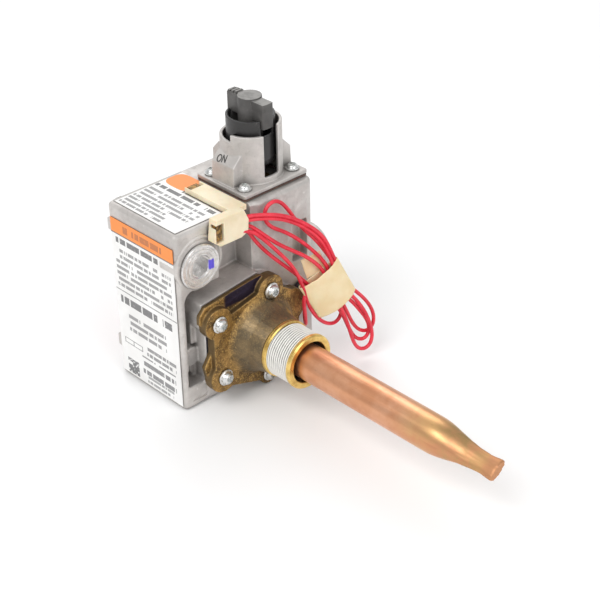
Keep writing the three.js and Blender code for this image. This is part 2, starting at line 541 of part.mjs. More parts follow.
add('regulator_plate', 'steel', turned('x', [[0, -17.6], [2, -17.6], [2, -16.2], [6.6, -16.2], [6.6, -13.5],
  [0, -13.5]], REGULATOR_AXIS, 20));

// ---------------------------------------------------------------- inlet screen
function inletScreen() {
  const disc = solid(drum('y', 8.6, 33.4, 34.4, INLET_AXIS, 20));
  const slots = [-4.5, -1.5, 1.5, 4.5].map((offset) => solid(box(INLET_AXIS.x + offset - 0.6,
    INLET_AXIS.x + offset + 0.6, 33, 35, INLET_AXIS.z - 5.5, INLET_AXIS.z + 5.5)));
  return cut(disc, ...slots);
}
add('inlet_screen', 'steel', inletScreen());

// ---------------------------------------------------------------- front cover and temperature dial
function frontCover() {
  const plate = solid(slab('x', roundedOutline(-36.5, 36.5, 4, 91.5, 4), COVER.outer, COVER.inner, 0.5, 3));
  const window = solid(drum('x', 3.6, COVER.outer - 1, COVER.inner + 1, TUBE_AXIS, 20));
  const clearances = Object.values(coverScrews).map(([y, z]) => solid(drum('x', COVER_SCREW.shank + GAP,
    COVER.outer - 1, COVER.inner + 1, { y, z }, 10)));
  const collar = solid(turned('x', [[24, COVER.outer + 0.5], [24, COVER.outer - 3.4], [25.4, COVER.outer - 3.4],
    [25.4, COVER.outer + 0.5], [24, COVER.outer + 0.5]], TUBE_AXIS, 28));
  return cut(join(plate, collar), window, ...clearances);
}
add('front_cover', 'cast_aluminium', frontCover());

for (const [place, [y, z]] of Object.entries(coverScrews)) {
  screw(`cover_screw_${place}`, 'x', COVER.outer, { y, z }, COVER_SCREW, -1);
}

function temperatureDial() {
  const disc = solid(turned('x', [[0, DIAL.back], [DIAL.radius, DIAL.back], [DIAL.radius, DIAL.face + 1],
    [DIAL.radius - 1, DIAL.face], [0, DIAL.face]], TUBE_AXIS, 32));
  const notches = Array.from({ length: DIAL.notches }, (_, i) => {
    const angle = (i / DIAL.notches) * 2 * Math.PI;
    return solid(drum('x', 1, DIAL.face - 1, DIAL.back - 2.5, {
      y: TUBE_AXIS.y + (DIAL.radius + 0.3) * Math.cos(angle),
      z: TUBE_AXIS.z + (DIAL.radius + 0.3) * Math.sin(angle),
    }, 5));
  });
  const grip = solid(shift(slab('x', roundedOutline(-4, 4, -17, 17, 3.9), DIAL.grip, DIAL.face + 0.5, 0.8, 4),
    TUBE_AXIS));
  const shaftBore = solid(drum('x', 3.4, -33, DIAL.back + 1, TUBE_AXIS, 16));
  return cut(join(cut(disc, ...notches), grip), shaftBore);
}
add('temperature_dial', 'dial_plastic', temperatureDial());
add('dial_shaft', 'brass', turned('x', [[0, -32.7], [3, -32.7], [3, 4], [2, 7.2], [0, 7.2]], TUBE_AXIS, 16));

// ---------------------------------------------------------------- labels
add('side_label', 'label', box(-22, 23, -BODY.y - 0.5, -BODY.y - GAP, 2.5, 87.3));
const topLabelOutline = outline([[-22.6, -39.5], [22, -39.5], [22, -12.6], [-6, -12.6], [-6, 0.6], [-22.6, 0.6]]);
add('top_label', 'label', slab('z', topLabelOutline, BODY.height + GAP, BODY.height + 0.45));

// ---------------------------------------------------------------- lead connector
function leadConnector() {
  const arm = solid(box(-5, CONNECTOR.front - 3, -11.6, -2, CONNECTOR.floor, CONNECTOR.top));
  const face = outline([[-22.6, CONNECTOR.top], [-24, 86.2], [-20.6, 83.4], [-8.1, 83.3], [-4, 85], [-3.6, 91],
    [-6.3, CONNECTOR.top]]);
  const head = solid(slab('x', face, CONNECTOR.back, CONNECTOR.front));
  const headCavity = solid(box(CONNECTOR.front - 4, CONNECTOR.front + 1, -22.9, -18.4, 85.6, 94.6));
  const armCavity = solid(box(-6, -1, -10.8, -3, CONNECTOR.floor + 0.7, CONNECTOR.top + 1));
  return cut(join(arm, head), headCavity, armCavity);
}
add('lead_connector', 'nylon', leadConnector());
add('terminal_front', 'brass', box(27.2, 29.6, -22.2, -19.1, 86.4, 93.8));
add('terminal_rear', 'brass', box(-5.2, -1.6, -9.6, -4.2, CONNECTOR.floor + 1.1, CONNECTOR.top - 0.7));

// ---------------------------------------------------------------- leads, hank and tape
// The hank leans by the corner of the body: `across` is its flat width, `down` runs to its loops,
// which rest on whatever the body stands on.
const HANK = {
  centre: new THREE.Vector3(42.5, 33.5, 44.9),
  across: new THREE.Vector3(5.4, 20, 10.9).normalize(),
  down: new THREE.Vector3(3, 8.5, -17.1).normalize(),
};
HANK.out = new THREE.Vector3().crossVectors(HANK.across, HANK.down).normalize();
HANK.side = new THREE.Vector3().crossVectors(HANK.down, HANK.out);
const TAPE = { half: 11.7, reach: 9.6, thick: 2.6, gap: 0.5 };

function hankFrame(geometry) {
  return geometry.applyMatrix4(new THREE.Matrix4().makeBasis(HANK.side, HANK.down, HANK.out)
    .setPosition(HANK.centre));
}

// Point just past the tape's upper (-1) or lower (1) edge, `side` mm along it.
function tapeEdge(side, out, edge) {
  return HANK.centre.clone().addScaledVector(HANK.side, side).addScaledVector(HANK.out, out)
    .addScaledVector(HANK.down, edge * (TAPE.reach + TAPE.gap)).toArray();
}

const leadRoutes = {
  lead_top_outer: [[28.9, -2.8, 91.6], [31.5, 4, 90.6], [34, 13, 87.8], [37, 23, 81.6], [40.8, 32.6, 71.8],
    tapeEdge(10.4, 0, -1.1)],
  lead_top_inner: [[28.9, -2.8, 89.2], [31.2, 4, 88], [33.8, 13, 85], [36.6, 22.6, 78.8], [40, 31.4, 69.2],
    tapeEdge(8, -0.3, -1.1)],
  lead_turn: [tapeEdge(8.8, 2.1, -1.1), [37.4, 31.6, 68.6], [33.6, 25, 77.6], [31, 20, 87], [29.8, 15.8, 92.6],
    [29.4, 11.4, 94], [29, 7.6, 91.6], [29, 6.8, 86.6], [30, 9.6, 81.6], [32, 15.8, 77.6], [35, 22.4, 71.8],
    [38.4, 28.2, 65], tapeEdge(5.4, 0.6, -1.1)],
  lead_middle: [[28.2, -2.8, 87], [31.8, 2.4, 81.9], [34.8, 8.6, 75.4], [37, 15, 70.2], [39.4, 22.4, 64.6],
    tapeEdge(2.4, 0, -1.1)],
  lead_low_outer: [[30.2, -2.8, 84.2], [33.2, 2.4, 77.4], [36.4, 8.4, 69.6], [38.4, 13.6, 62.6], [39.4, 17.4, 56],
    tapeEdge(-9.8, -0.6, -1.1)],
  lead_low_inner: [[27.4, -2.8, 84.4], [29.6, 2.6, 77], [32.6, 8.6, 69.4], [35.2, 14, 62], [36.8, 18, 56.4],
    tapeEdge(-7.6, 1.2, -1.1)],
  lead_return: [[39.4, 21.1, 41.4], [38.8, 22.1, 34.5], [37.4, 24, 27.5], [34.6, 26.6, 23], [31.6, 28.6, 26.5],
    [30, 29.8, 33], [28.9, 30, 38.2]],
};
for (const [name, points] of Object.entries(leadRoutes)) {
  add(name, 'red_insulation', wire(points, WIRE_RADIUS, 8, 2 * points.length));
}

const bundle = outline([[-11, 10.2], [9.4, 10.2], [12.8, 24], [12.8, 37], [9, 43.8], [1, 47], [-5, 47], [-6.2, 41],
  [-3.6, 27], [-9.4, 24.4], [-13.2, 16]]);
add('lead_hank', 'red_insulation', hankFrame(slab('z', bundle, -3, 3, 1.2)));
add('tape_wrap', 'masking_tape', hankFrame(slab('z',
  roundedOutline(-TAPE.half, TAPE.half, -TAPE.reach, TAPE.reach, 1.5), -TAPE.thick, TAPE.thick, 1, 3)));
add('lead_grommet', 'rubber', turned('x', [[0, 22], [2.2, 22], [2.2, 26.8], [3.4, 26.8], [3.4, 27.6],
  [1.2, 27.6], [0, 27.4]], { y: 30, z: 39 }, 14));

export default group;
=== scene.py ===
"""Looks of the gas valve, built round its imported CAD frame. Metres, +X along the immersion tube, +Z up."""
import math

import bmesh
import bpy
from mathutils import Matrix, Vector, noise


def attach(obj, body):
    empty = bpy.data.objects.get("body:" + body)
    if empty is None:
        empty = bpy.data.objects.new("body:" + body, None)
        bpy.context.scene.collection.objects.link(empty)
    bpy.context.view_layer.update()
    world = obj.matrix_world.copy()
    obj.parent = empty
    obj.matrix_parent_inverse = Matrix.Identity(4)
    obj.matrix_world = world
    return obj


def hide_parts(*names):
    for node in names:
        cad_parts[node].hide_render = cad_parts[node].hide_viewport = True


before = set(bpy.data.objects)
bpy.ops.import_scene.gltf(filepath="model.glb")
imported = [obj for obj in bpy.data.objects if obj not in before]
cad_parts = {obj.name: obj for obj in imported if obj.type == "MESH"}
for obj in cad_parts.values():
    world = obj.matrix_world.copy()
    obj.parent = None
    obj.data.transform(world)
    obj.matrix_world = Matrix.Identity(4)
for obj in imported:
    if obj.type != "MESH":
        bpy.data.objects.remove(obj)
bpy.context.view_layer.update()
MM = 0.001
TAU = 2 * math.pi

# ------------------------------------------------------------------ shared places, in millimetres
TUBE_Y, TUBE_Z = -2.6, 30.6                 # thermostat tube, shank and dial
COCK_X, COCK_Y = 5.2, 21.4                  # gas cock, tower and knob
PLUG_Y, PLUG_Z = -29.5, 75.0                # regulator plug
AXES = {
    "x": Matrix(((0, 0, 1), (1, 0, 0), (0, 1, 0))),
    "y": Matrix(((0, 1, 0), (0, 0, 1), (1, 0, 0))),
    "z": Matrix.Identity(3),
}


def place(axis, x=0.0, y=0.0, z=0.0):
    """Matrix that turns local +Z to a world axis and moves the piece, in metres."""
    return Matrix.Translation(Vector((x, y, z)) * MM) @ AXES[axis].to_4x4()


def polar(radius, angle):
    return radius * math.cos(angle), radius * math.sin(angle)


def round_cock(degrees):
    """Matrix that turns +X to an angle round the gas cock's axis."""
    return place("z", COCK_X, COCK_Y) @ Matrix.Rotation(math.radians(degrees), 4, "Z")


# ------------------------------------------------------------------ camera
CAMERA_PLACE = (0.465818, -0.379881, 0.407036)
CAMERA_AZIMUTH, CAMERA_ELEVATION, CAMERA_ROLL = 46.93, 32.02, -0.99
CAMERA_LENS, CAMERA_SENSOR = 87.17, 36


def add_camera():
    azimuth, elevation = math.radians(CAMERA_AZIMUTH), math.radians(CAMERA_ELEVATION)
    roll = math.radians(CAMERA_ROLL)
    flat = math.cos(elevation)
    toward = Vector((-math.sin(azimuth) * flat, math.cos(azimuth) * flat, -math.sin(elevation)))
    level = toward.cross(Vector((0, 0, 1))).normalized()
    upright = level.cross(toward)
    right = level * math.cos(roll) + upright * math.sin(roll)
    up = upright * math.cos(roll) - level * math.sin(roll)
    camera = bpy.data.objects.new("camera", bpy.data.cameras.new("camera"))
    bpy.context.scene.collection.objects.link(camera)
    turn = Matrix((right, up, -toward)).transposed()
    camera.matrix_world = Matrix.Translation(CAMERA_PLACE) @ turn.to_4x4()
    camera.data.sensor_width = CAMERA_SENSOR
    camera.data.lens = CAMERA_LENS
    camera.data.clip_start = 0.01
    camera.data.clip_end = 20
    bpy.context.scene.camera = camera


add_camera()


# ------------------------------------------------------------------ node graphs
class Graph:
    """Small helper that writes a procedural material."""

    def __init__(self, name):
        self.material = bpy.data.materials.new(name)
        self.material.use_nodes = True
        self.tree = self.material.node_tree
        self.shader = self.tree.nodes["Principled BSDF"]
        self.place = self.node("ShaderNodeTexCoord").outputs["Object"]

    def node(self, kind, **settings):
        made = self.tree.nodes.new(kind)
        for key, value in settings.items():
            setattr(made, key, value)
        return made

    def link(self, source, target):
        self.tree.links.new(source, target)

    def feed(self, socket, value):
        if hasattr(value, "is_output"):
            self.link(value, socket)
        elif isinstance(value, (tuple, list)) and len(value) == 3 and socket.type == "RGBA":
            socket.default_value = (*value, 1)
        else:
            socket.default_value = value

    def scaled(self, factors):
        made = self.node("ShaderNodeVectorMath", operation="MULTIPLY")
        self.link(self.place, made.inputs[0])
        made.inputs[1].default_value = factors
        return made.outputs[0]

    def noise(self, scale, detail=3.0, rough=0.5, where=None, distortion=0.0):
        made = self.node("ShaderNodeTexNoise")
        self.link(where or self.place, made.inputs["Vector"])
        made.inputs["Scale"].default_value = scale
        made.inputs["Detail"].default_value = detail
        made.inputs["Roughness"].default_value = rough
        made.inputs["Distortion"].default_value = distortion
        return made.outputs["Fac"]

    def math(self, operation, first, second=0.0, clamp=False):
        made = self.node("ShaderNodeMath", operation=operation, use_clamp=clamp)
        self.feed(made.inputs[0], first)
        self.feed(made.inputs[1], second)
        return made.outputs[0]

    def ramp(self, value, low, high, out_low=0.0, out_high=1.0):
        made = self.node("ShaderNodeMapRange", interpolation_type="SMOOTHSTEP")
        self.feed(made.inputs["Value"], value)
        made.inputs["From Min"].default_value = low
        made.inputs["From Max"].default_value = high
        made.inputs["To Min"].default_value = out_low
        made.inputs["To Max"].default_value = out_high
        return made.outputs["Result"]

    def mix(self, factor, first, second):
        made = self.node("ShaderNodeMix", data_type="RGBA")
        self.feed(made.inputs["Factor"], factor)
        self.feed(made.inputs[6], first)
        self.feed(made.inputs[7], second)
        return made.outputs[2]

    def axis(self, name):
        made = self.node("ShaderNodeSeparateXYZ")
        self.link(self.place, made.inputs[0])
        return made.outputs["XYZ".index(name)]

    def facing(self, name):
        """How much the surface faces along a row axis."""
        shape = self.node("ShaderNodeNewGeometry")
        made = self.node("ShaderNodeSeparateXYZ")
        self.link(shape.outputs["Normal"], made.inputs[0])
        return made.outputs["XYZ".index(name)]

    def radius(self, axis, first, second):
        """Distance from an axis that runs along X, Y or Z, in metres."""
        names = [name for name in "XYZ" if name != axis]
        parts = [self.math("SUBTRACT", self.axis(name), value * MM)
                 for name, value in zip(names, (first, second))]
        squares = [self.math("MULTIPLY", part, part) for part in parts]
        return self.math("SQRT", self.math("ADD", *squares))

    def edges(self, reach):
        """1 where the surface turns a corner within reach, 0 where it is flat; the materials use it to paint
        highlights along edges.
        """
        soft = self.node("ShaderNodeBevel", samples=4)
        soft.inputs["Radius"].default_value = reach
        shape = self.node("ShaderNodeNewGeometry")
        dot = self.node("ShaderNodeVectorMath", operation="DOT_PRODUCT")
        self.link(soft.outputs["Normal"], dot.inputs[0])
        self.link(shape.outputs["Normal"], dot.inputs[1])
        return self.ramp(dot.outputs["Value"], 0.99, 0.85)

    def painted_crevice_shade(self, reach, low=0.35, high=0.8):
        """Painted shade: 1 in corners and pockets that are closed in within reach, 0 in the open."""
        made = self.node("ShaderNodeAmbientOcclusion", samples=6)
        made.inputs["Distance"].default_value = reach
        return self.ramp(made.outputs["AO"], high, low)

    def bump(self, height, strength, distance, before=None):
        made = self.node("ShaderNodeBump")
        self.feed(made.inputs["Height"], height)
        made.inputs["Strength"].default_value = strength
        made.inputs["Distance"].default_value = distance
        if before is not None:
            self.link(before, made.inputs["Normal"])
        return made.outputs["Normal"]

    def done(self, color, roughness=0.5, metallic=0.0, normal=None, **fixed):
        self.feed(self.shader.inputs["Base Color"], color)
        self.feed(self.shader.inputs["Roughness"], roughness)
        self.feed(self.shader.inputs["Metallic"], metallic)
        if normal is not None:
            self.link(normal, self.shader.inputs["Normal"])
        for name, value in fixed.items():
            self.shader.inputs[name.replace("_", " ")].default_value = value
        return self.material


def cast_aluminium():
    g = Graph("cast_aluminium")
    cloud = g.noise(55, 4, 0.6)
    grain = g.noise(1500, 3, 0.65)
    flow = g.noise(260, 3, 0.5, distortion=0.6)
    light, dark = (0.655, 0.625, 0.60), (0.50, 0.475, 0.455)
    color = g.mix(g.ramp(cloud, 0.35, 0.68), dark, light)
    color = g.mix(g.ramp(flow, 0.58, 0.76, 0, 0.35), color, (0.38, 0.355, 0.335))
    color = g.mix(g.ramp(grain, 0.25, 0.42, 0.5, 0), color, (0.34, 0.32, 0.30))
    color = g.mix(g.ramp(g.noise(420, 2), 0.68, 0.78, 0, 0.5), color, (0.80, 0.78, 0.76))
    # painted highlight: lighter along the casting's edges
    color = g.mix(g.math("MULTIPLY", g.edges(0.0007), 0.5), color, (0.86, 0.84, 0.82))
    # painted shade: darker in corners and pockets
    color = g.mix(g.math("MULTIPLY", g.painted_crevice_shade(0.006), 0.62), color, (0.16, 0.145, 0.135))
    normal = g.bump(grain, 0.35, 0.00012)
    normal = g.bump(flow, 0.25, 0.0004, normal)
    return g.done(color, g.ramp(flow, 0.3, 0.7, 0.46, 0.62), 0.55, normal)


def aged_brass():
    g = Graph("aged_brass")
    from_axis = g.radius("X", TUBE_Y, TUBE_Z)
    patch = g.noise(150, 5, 0.7)
    speck = g.noise(1300, 3, 0.7)
    color = g.mix(g.ramp(patch, 0.36, 0.62), (0.13, 0.078, 0.03), (0.40, 0.235, 0.075))
    color = g.mix(g.ramp(speck, 0.52, 0.68, 0, 0.85), color, (0.72, 0.47, 0.15))
    color = g.mix(g.ramp(speck, 0.42, 0.30, 0, 0.8), color, (0.045, 0.035, 0.025))
    neck = g.math("MULTIPLY", g.ramp(from_axis, 0.023, 0.0165), g.ramp(g.axis("X"), 0.034, 0.038))
    color = g.mix(g.math("MULTIPLY", neck, 0.72), color, (0.15, 0.125, 0.085))
    # golden patches kept to the +Y side: partly the brass's own tone, partly a painted highlight on the
    # right-hand lobe
    gold_tone_and_highlight = g.math("MULTIPLY", g.ramp(g.noise(85, 3, 0.6), 0.55, 0.70), g.ramp(g.axis("Y"), -0.002, 0.014))
    color = g.mix(gold_tone_and_highlight, color, (0.72, 0.44, 0.10))
    rim = g.math("MULTIPLY", g.ramp(g.facing("X"), 0.75, 0.45), g.ramp(g.axis("X"), 0.036, 0.034))
    color = g.mix(rim, color, (0.16, 0.105, 0.045))
    # painted shade in the sunk slot along the flange's upper edge
    sunk = g.math("MULTIPLY", g.ramp(g.axis("X"), 0.03385, 0.0332), g.ramp(g.facing("X"), 0.6, 0.9))
    upper = g.math("MULTIPLY", g.ramp(g.axis("Z"), 0.051, 0.0525), g.ramp(g.axis("Y"), -0.023, -0.0205))
    slot_shade = g.math("MULTIPLY", sunk, upper)
    color = g.mix(slot_shade, color, (0.022, 0.014, 0.032))
    # painted shade: darker in corners and pockets
    color = g.mix(g.math("MULTIPLY", g.painted_crevice_shade(0.005), 0.6), color, (0.03, 0.02, 0.012))
    # painted highlight: lighter and more golden along the edges
    color = g.mix(g.math("MULTIPLY", g.edges(0.0007), 0.35), color, (0.62, 0.42, 0.16))
    normal = g.bump(speck, 0.55, 0.0002)
    normal = g.bump(patch, 0.4, 0.0005, normal)
    return g.done(color, g.ramp(patch, 0.3, 0.7, 0.52, 0.36), 0.75, normal)


def polished_brass():
    g = Graph("polished_brass")
    stain = g.noise(220, 4, 0.6)
    ring = g.noise(1, 2, 0.5, g.scaled((2600, 60, 60)))
    color = g.mix(g.ramp(stain, 0.42, 0.7), (0.85, 0.60, 0.20), (0.62, 0.40, 0.11))
    return g.done(color, g.ramp(ring, 0.3, 0.7, 0.2, 0.36), 0.95, g.bump(ring, 0.2, 0.00008))


def thread_tape():
    g = Graph("thread_tape")
    depth = g.radius("X", TUBE_Y, TUBE_Z)
    fibre = g.noise(1, 3, 0.6, g.scaled((2400, 160, 160)))
    depth = g.math("ADD", depth, g.math("MULTIPLY", g.math("SUBTRACT", g.axis("X"), 0.053), 0.02))
    # painted shade: near black in the thread's valleys, white tape on the ridges
    color = g.mix(g.ramp(depth, 0.01262, 0.01302), (0.085, 0.09, 0.08), (0.86, 0.85, 0.81))
    color = g.mix(g.ramp(fibre, 0.60, 0.75, 0, 0.3), color, (0.60, 0.60, 0.56))
    return g.done(color, 0.55, 0.0, g.bump(fibre, 0.3, 0.00015))


def copper():
    g = Graph("copper")
    along = g.axis("X")
    streak = g.noise(1, 4, 0.6, g.scaled((26, 420, 420)))
    cloud = g.noise(70, 4, 0.65)
    speck = g.noise(900, 2, 0.6)
    color = g.mix(g.ramp(cloud, 0.35, 0.68), (0.66, 0.31, 0.165), (0.76, 0.41, 0.25))
    color = g.mix(g.ramp(streak, 0.5, 0.75, 0, 0.45), color, (0.50, 0.22, 0.11))
    warm = g.math("MULTIPLY", g.ramp(along, 0.122, 0.150), g.ramp(cloud, 0.30, 0.62))
    color = g.mix(g.math("MULTIPLY", warm, 0.75), color, (0.62, 0.40, 0.15))
    burnt = g.math("MULTIPLY", g.ramp(along, 0.146, 0.156), g.ramp(along, 0.176, 0.164))
    burnt = g.math("MULTIPLY", burnt, g.ramp(cloud, 0.36, 0.6, 0.15, 0.65))
    color = g.mix(burnt, color, (0.27, 0.20, 0.085))
    color = g.mix(g.ramp(along, 0.170, 0.176, 0, 0.6), color, (0.52, 0.22, 0.13))
    color = g.mix(g.ramp(speck, 0.68, 0.78, 0, 0.4), color, (0.36, 0.17, 0.10))
    rough = g.math("ADD", g.ramp(streak, 0.3, 0.7, 0.30, 0.44), g.ramp(along, 0.145, 0.17, 0, 0.12))
    return g.done(color, rough, 0.95, g.bump(streak, 0.18, 0.0002, g.bump(speck, 0.15, 0.0001)))


def zinc():
    g = Graph("zinc_plate")
    cloud = g.noise(700, 4, 0.6)
    color = g.mix(g.ramp(cloud, 0.35, 0.7), (0.60, 0.61, 0.60), (0.86, 0.87, 0.86))
    return g.done(color, g.ramp(cloud, 0.3, 0.7, 0.2, 0.4), 0.95, g.bump(cloud, 0.25, 0.0001))


def turned_metal():
    g = Graph("turned_metal")
    from_axis = g.radius("X", PLUG_Y, PLUG_Z)
    lathe = g.math("SINE", g.math("MULTIPLY", from_axis, 13000.0))
    dust = g.noise(500, 4, 0.6)
    color = g.mix(g.ramp(dust, 0.4, 0.75), (0.74, 0.73, 0.72), (0.56, 0.545, 0.53))
    # a dab of blue locking paint at the socket's edge
    aside = g.math("ABSOLUTE", g.math("SUBTRACT", g.axis("Y"), -0.0234))
    above = g.math("ABSOLUTE", g.math("SUBTRACT", g.axis("Z"), 0.0741))
    dab = g.math("MULTIPLY", g.ramp(aside, 0.0017, 0.0012), g.ramp(above, 0.0028, 0.0020))
    dab = g.math("MULTIPLY", dab, g.ramp(g.axis("X"), 0.0257, 0.0260))
    color = g.mix(dab, color, (0.10, 0.07, 0.62))
    metal = g.math("SUBTRACT", 0.85, g.math("MULTIPLY", dab, 0.85))
    return g.done(color, g.ramp(dust, 0.3, 0.7, 0.26, 0.4), metal, g.bump(lathe, 0.12, 0.00005))


def knob_plastic():
    g = Graph("knob_plastic")
    grain = g.noise(1800, 3, 0.7)
    # painted sheen: the knob's upward faces lighter, in patches
    sheen_patches = g.ramp(g.noise(300, 3), 0.3, 0.6, 0.55, 1.0)
    upward_sheen = g.math("MULTIPLY", g.ramp(g.facing("Z"), 0.6, 0.95), sheen_patches)
    color = g.mix(g.ramp(g.noise(120, 3), 0.35, 0.7), (0.055, 0.052, 0.05), (0.10, 0.096, 0.092))
    color = g.mix(g.math("MULTIPLY", upward_sheen, 0.8), color, (0.30, 0.29, 0.275))
    # painted highlight along the edges
    color = g.mix(g.math("MULTIPLY", g.edges(0.0004), 0.55), color, (0.36, 0.35, 0.34))
    color = g.mix(g.ramp(grain, 0.66, 0.76, 0, 0.5), color, (0.38, 0.37, 0.36))
    return g.done(color, 0.5, 0.0, g.bump(grain, 0.3, 0.0001))


def black_plastic():
    g = Graph("black_plastic")
    dust = g.noise(600, 4, 0.7)
    color = g.mix(g.ramp(dust, 0.58, 0.78, 0, 0.6), (0.022, 0.021, 0.021), (0.13, 0.125, 0.12))
    # painted highlight along the edges
    color = g.mix(g.math("MULTIPLY", g.edges(0.0003), 0.6), color, (0.16, 0.155, 0.15))
    return g.done(color, g.ramp(dust, 0.3, 0.7, 0.28, 0.46), 0.0, g.bump(dust, 0.12, 0.0001))


def dial_plastic():
    g = Graph("dial_plastic")
    grain = g.noise(1500, 3, 0.6)
    color = g.mix(g.ramp(g.noise(90, 3), 0.3, 0.7), (0.36, 0.028, 0.02), (0.46, 0.045, 0.032))
    # painted highlight along the edges
    color = g.mix(g.math("MULTIPLY", g.edges(0.0004), 0.4), color, (0.62, 0.20, 0.16))
    return g.done(color, 0.42, 0.0, g.bump(grain, 0.2, 0.0001))


def plain(name, low, high, roughness, metallic, scale, bump, distance=0.0001, **fixed):
    """Two tones of one colour, mottled, with a fine bump at the same scale."""
    g = Graph(name)
    cloud = g.noise(scale, 4, 0.6)
    fine = g.noise(scale * 6, 3, 0.6)
    color = g.mix(g.ramp(cloud, 0.32, 0.68), low, high)
    color = g.mix(g.ramp(fine, 0.64, 0.78, 0, 0.25), color, tuple(0.6 * c for c in low))
    rough = g.ramp(cloud, 0.3, 0.7, roughness - 0.06, roughness + 0.08)
    return g.done(color, rough, metallic, g.bump(fine, bump, distance), **fixed)


def red_lead():
    g = Graph("red_insulation")
    tone = g.noise(160, 3, 0.5)
    scuff = g.noise(1100, 3, 0.7)
    color = g.mix(g.ramp(tone, 0.3, 0.7), (0.66, 0.018, 0.042), (0.80, 0.04, 0.07))
    color = g.mix(g.ramp(scuff, 0.66, 0.76, 0, 0.45), color, (0.82, 0.30, 0.32))
    return g.done(color, g.ramp(scuff, 0.3, 0.7, 0.26, 0.44), 0.0, g.bump(scuff, 0.15, 0.0001),
                  Subsurface_Weight=0.12, Subsurface_Scale=0.0012)


def masking_tape():
    g = Graph("masking_tape")
    crepe = g.noise(1, 4, 0.65, g.scaled((900, 900, 900)))
    cloud = g.noise(120, 3, 0.5)
    color = g.mix(g.ramp(cloud, 0.3, 0.7), (0.84, 0.645, 0.375), (0.90, 0.735, 0.48))
    color = g.mix(g.ramp(crepe, 0.62, 0.76, 0, 0.25), color, (0.62, 0.43, 0.20))
    return g.done(color, 0.62, 0.0, g.bump(crepe, 0.3, 0.00012),
                  Subsurface_Weight=0.15, Subsurface_Scale=0.001)


class Rules(Graph):
    """Paper label whose print is greeked: broken grey rules, no letters."""

    def cell(self, u, v, pitch_u, pitch_v):
        made = self.node("ShaderNodeCombineXYZ")
        self.link(self.math("FLOOR", self.math("DIVIDE", u, pitch_u)), made.inputs[0])
        self.link(self.math("FLOOR", self.math("DIVIDE", v, pitch_v)), made.inputs[1])
        rand = self.node("ShaderNodeTexWhiteNoise", noise_dimensions="2D")
        self.link(made.outputs[0], rand.inputs["Vector"])
        return rand.outputs["Value"]

    def between(self, value, low, high):
        above = self.math("GREATER_THAN", value, low)
        return self.math("MULTIPLY", above, self.math("LESS_THAN", value, high))

    def block(self, u, v, u_range, v_range):
        return self.math("MULTIPLY", self.between(u, *u_range), self.between(v, *v_range))

    def rows(self, u, v, u_range, v_range, pitch, height, word, ink):
        """Rows of broken bars in a block; word is the length of a bar's cell."""
        block = self.block(u, v, u_range, v_range)
        u = self.math("SUBTRACT", u, u_range[0])
        v = self.math("SUBTRACT", v, v_range[0])
        line = self.math("LESS_THAN", self.math("FRACT", self.math("DIVIDE", v, pitch)), height / pitch)
        stroke = self.math("GREATER_THAN", self.cell(u, v, word, pitch), 0.1)
        fleck = self.math("GREATER_THAN", self.cell(u, v, word / 4.3, pitch), 0.16)
        both = self.math("MULTIPLY", self.math("MULTIPLY", line, stroke), fleck)
        return self.math("MULTIPLY", self.math("MULTIPLY", block, both), ink)

    def marks(self, u, v, bars, rows):
        """Print of a label in millimetres: bars (u, v, ink), rows (u, v, pitch, height, word, ink)."""
        def metres(span):
            return tuple(value * MM for value in span)
        made = [self.math("MULTIPLY", self.block(u, v, metres(wide), metres(high)), ink)
                for wide, high, ink in bars]
        made += [self.rows(u, v, metres(wide), metres(high), pitch * MM, height * MM, word * MM, ink)
                 for wide, high, pitch, height, word, ink in rows]
        return made


def label_paper(name, layout, margin=0.0):
    g = Rules(name)
    marks, band = layout(g)
    ink = None
    for mark in marks:
        ink = mark if ink is None else g.math("MAXIMUM", ink, mark)
    wear = g.noise(700, 3, 0.6)
    ink = g.math("MULTIPLY", ink, g.ramp(wear, 0.30, 0.42, 0.6, 1.0))
    paper = g.mix(g.ramp(g.noise(60, 3), 0.3, 0.7), (0.80, 0.79, 0.775), (0.88, 0.875, 0.865))
    color = g.mix(band, paper, (0.90, 0.27, 0.05))
    faint = g.math("SUBTRACT", 1.0, g.math("MULTIPLY", band, 0.45))
    color = g.mix(g.math("MULTIPLY", ink, faint), color, (0.035, 0.035, 0.04))
    if margin:
        # the bare strip of casting past the label's edge
        color = g.mix(g.math("LESS_THAN", g.axis("X"), margin), color, (0.44, 0.42, 0.40))
    return g.done(color, 0.42, 0.0, g.bump(wear, 0.08, 0.0001))


SIDE_BARS = (
    ((-22, 23), (79.6, 80.2), 0.9), ((-22, 23), (49.0, 49.5), 0.8), ((-13, -9.5), (81.8, 85.4), 0.85),
    ((-18.7, -5.1), (22.6, 23.0), 0.8), ((-18.7, -5.1), (20.0, 20.4), 0.8),
    *(((left, left + 0.5), (20.0, 23.0), 0.8) for left in (-18.7, -12.2, -5.6)))
SIDE_ROWS = (
    ((-6.5, 15), (82.0, 85.4), 3.7, 3.2, 3.2, 0.85),
    ((-19, 19.5), (75.2, 78.9), 3.9, 2.9, 4.4, 0.82),
    ((-20, 20.5), (51.6, 73.6), 3.15, 1.75, 3.1, 0.66),
    ((-19, 19), (42.6, 47.2), 5.2, 4.0, 3.9, 0.82),
    ((-14, 14), (28.5, 39.2), 3.6, 2.0, 3.4, 0.66),
    ((-2, 20), (19.5, 25.5), 3.2, 1.9, 2.7, 0.7),
    ((-6, 19), (8, 18), 4.6, 2.6, 3.9, 0.75),
    ((-3, 17), (3.6, 7.6), 2.6, 1.5, 2.4, 0.6),
    ((-17.7, -9.3), (3.4, 11.7), 0.9, 0.9, 3.4, 0.85))
TOP_ROWS = (
    ((-21, 20.5), (-16.4, -13.2), 3.3, 2.4, 4.4, 0.85),
    ((-20.5, 18.5), (-29.7, -17.4), 3.1, 1.7, 3.1, 0.68),
    ((-20.5, 9), (-38.1, -30), 2.8, 1.6, 2.9, 0.68))


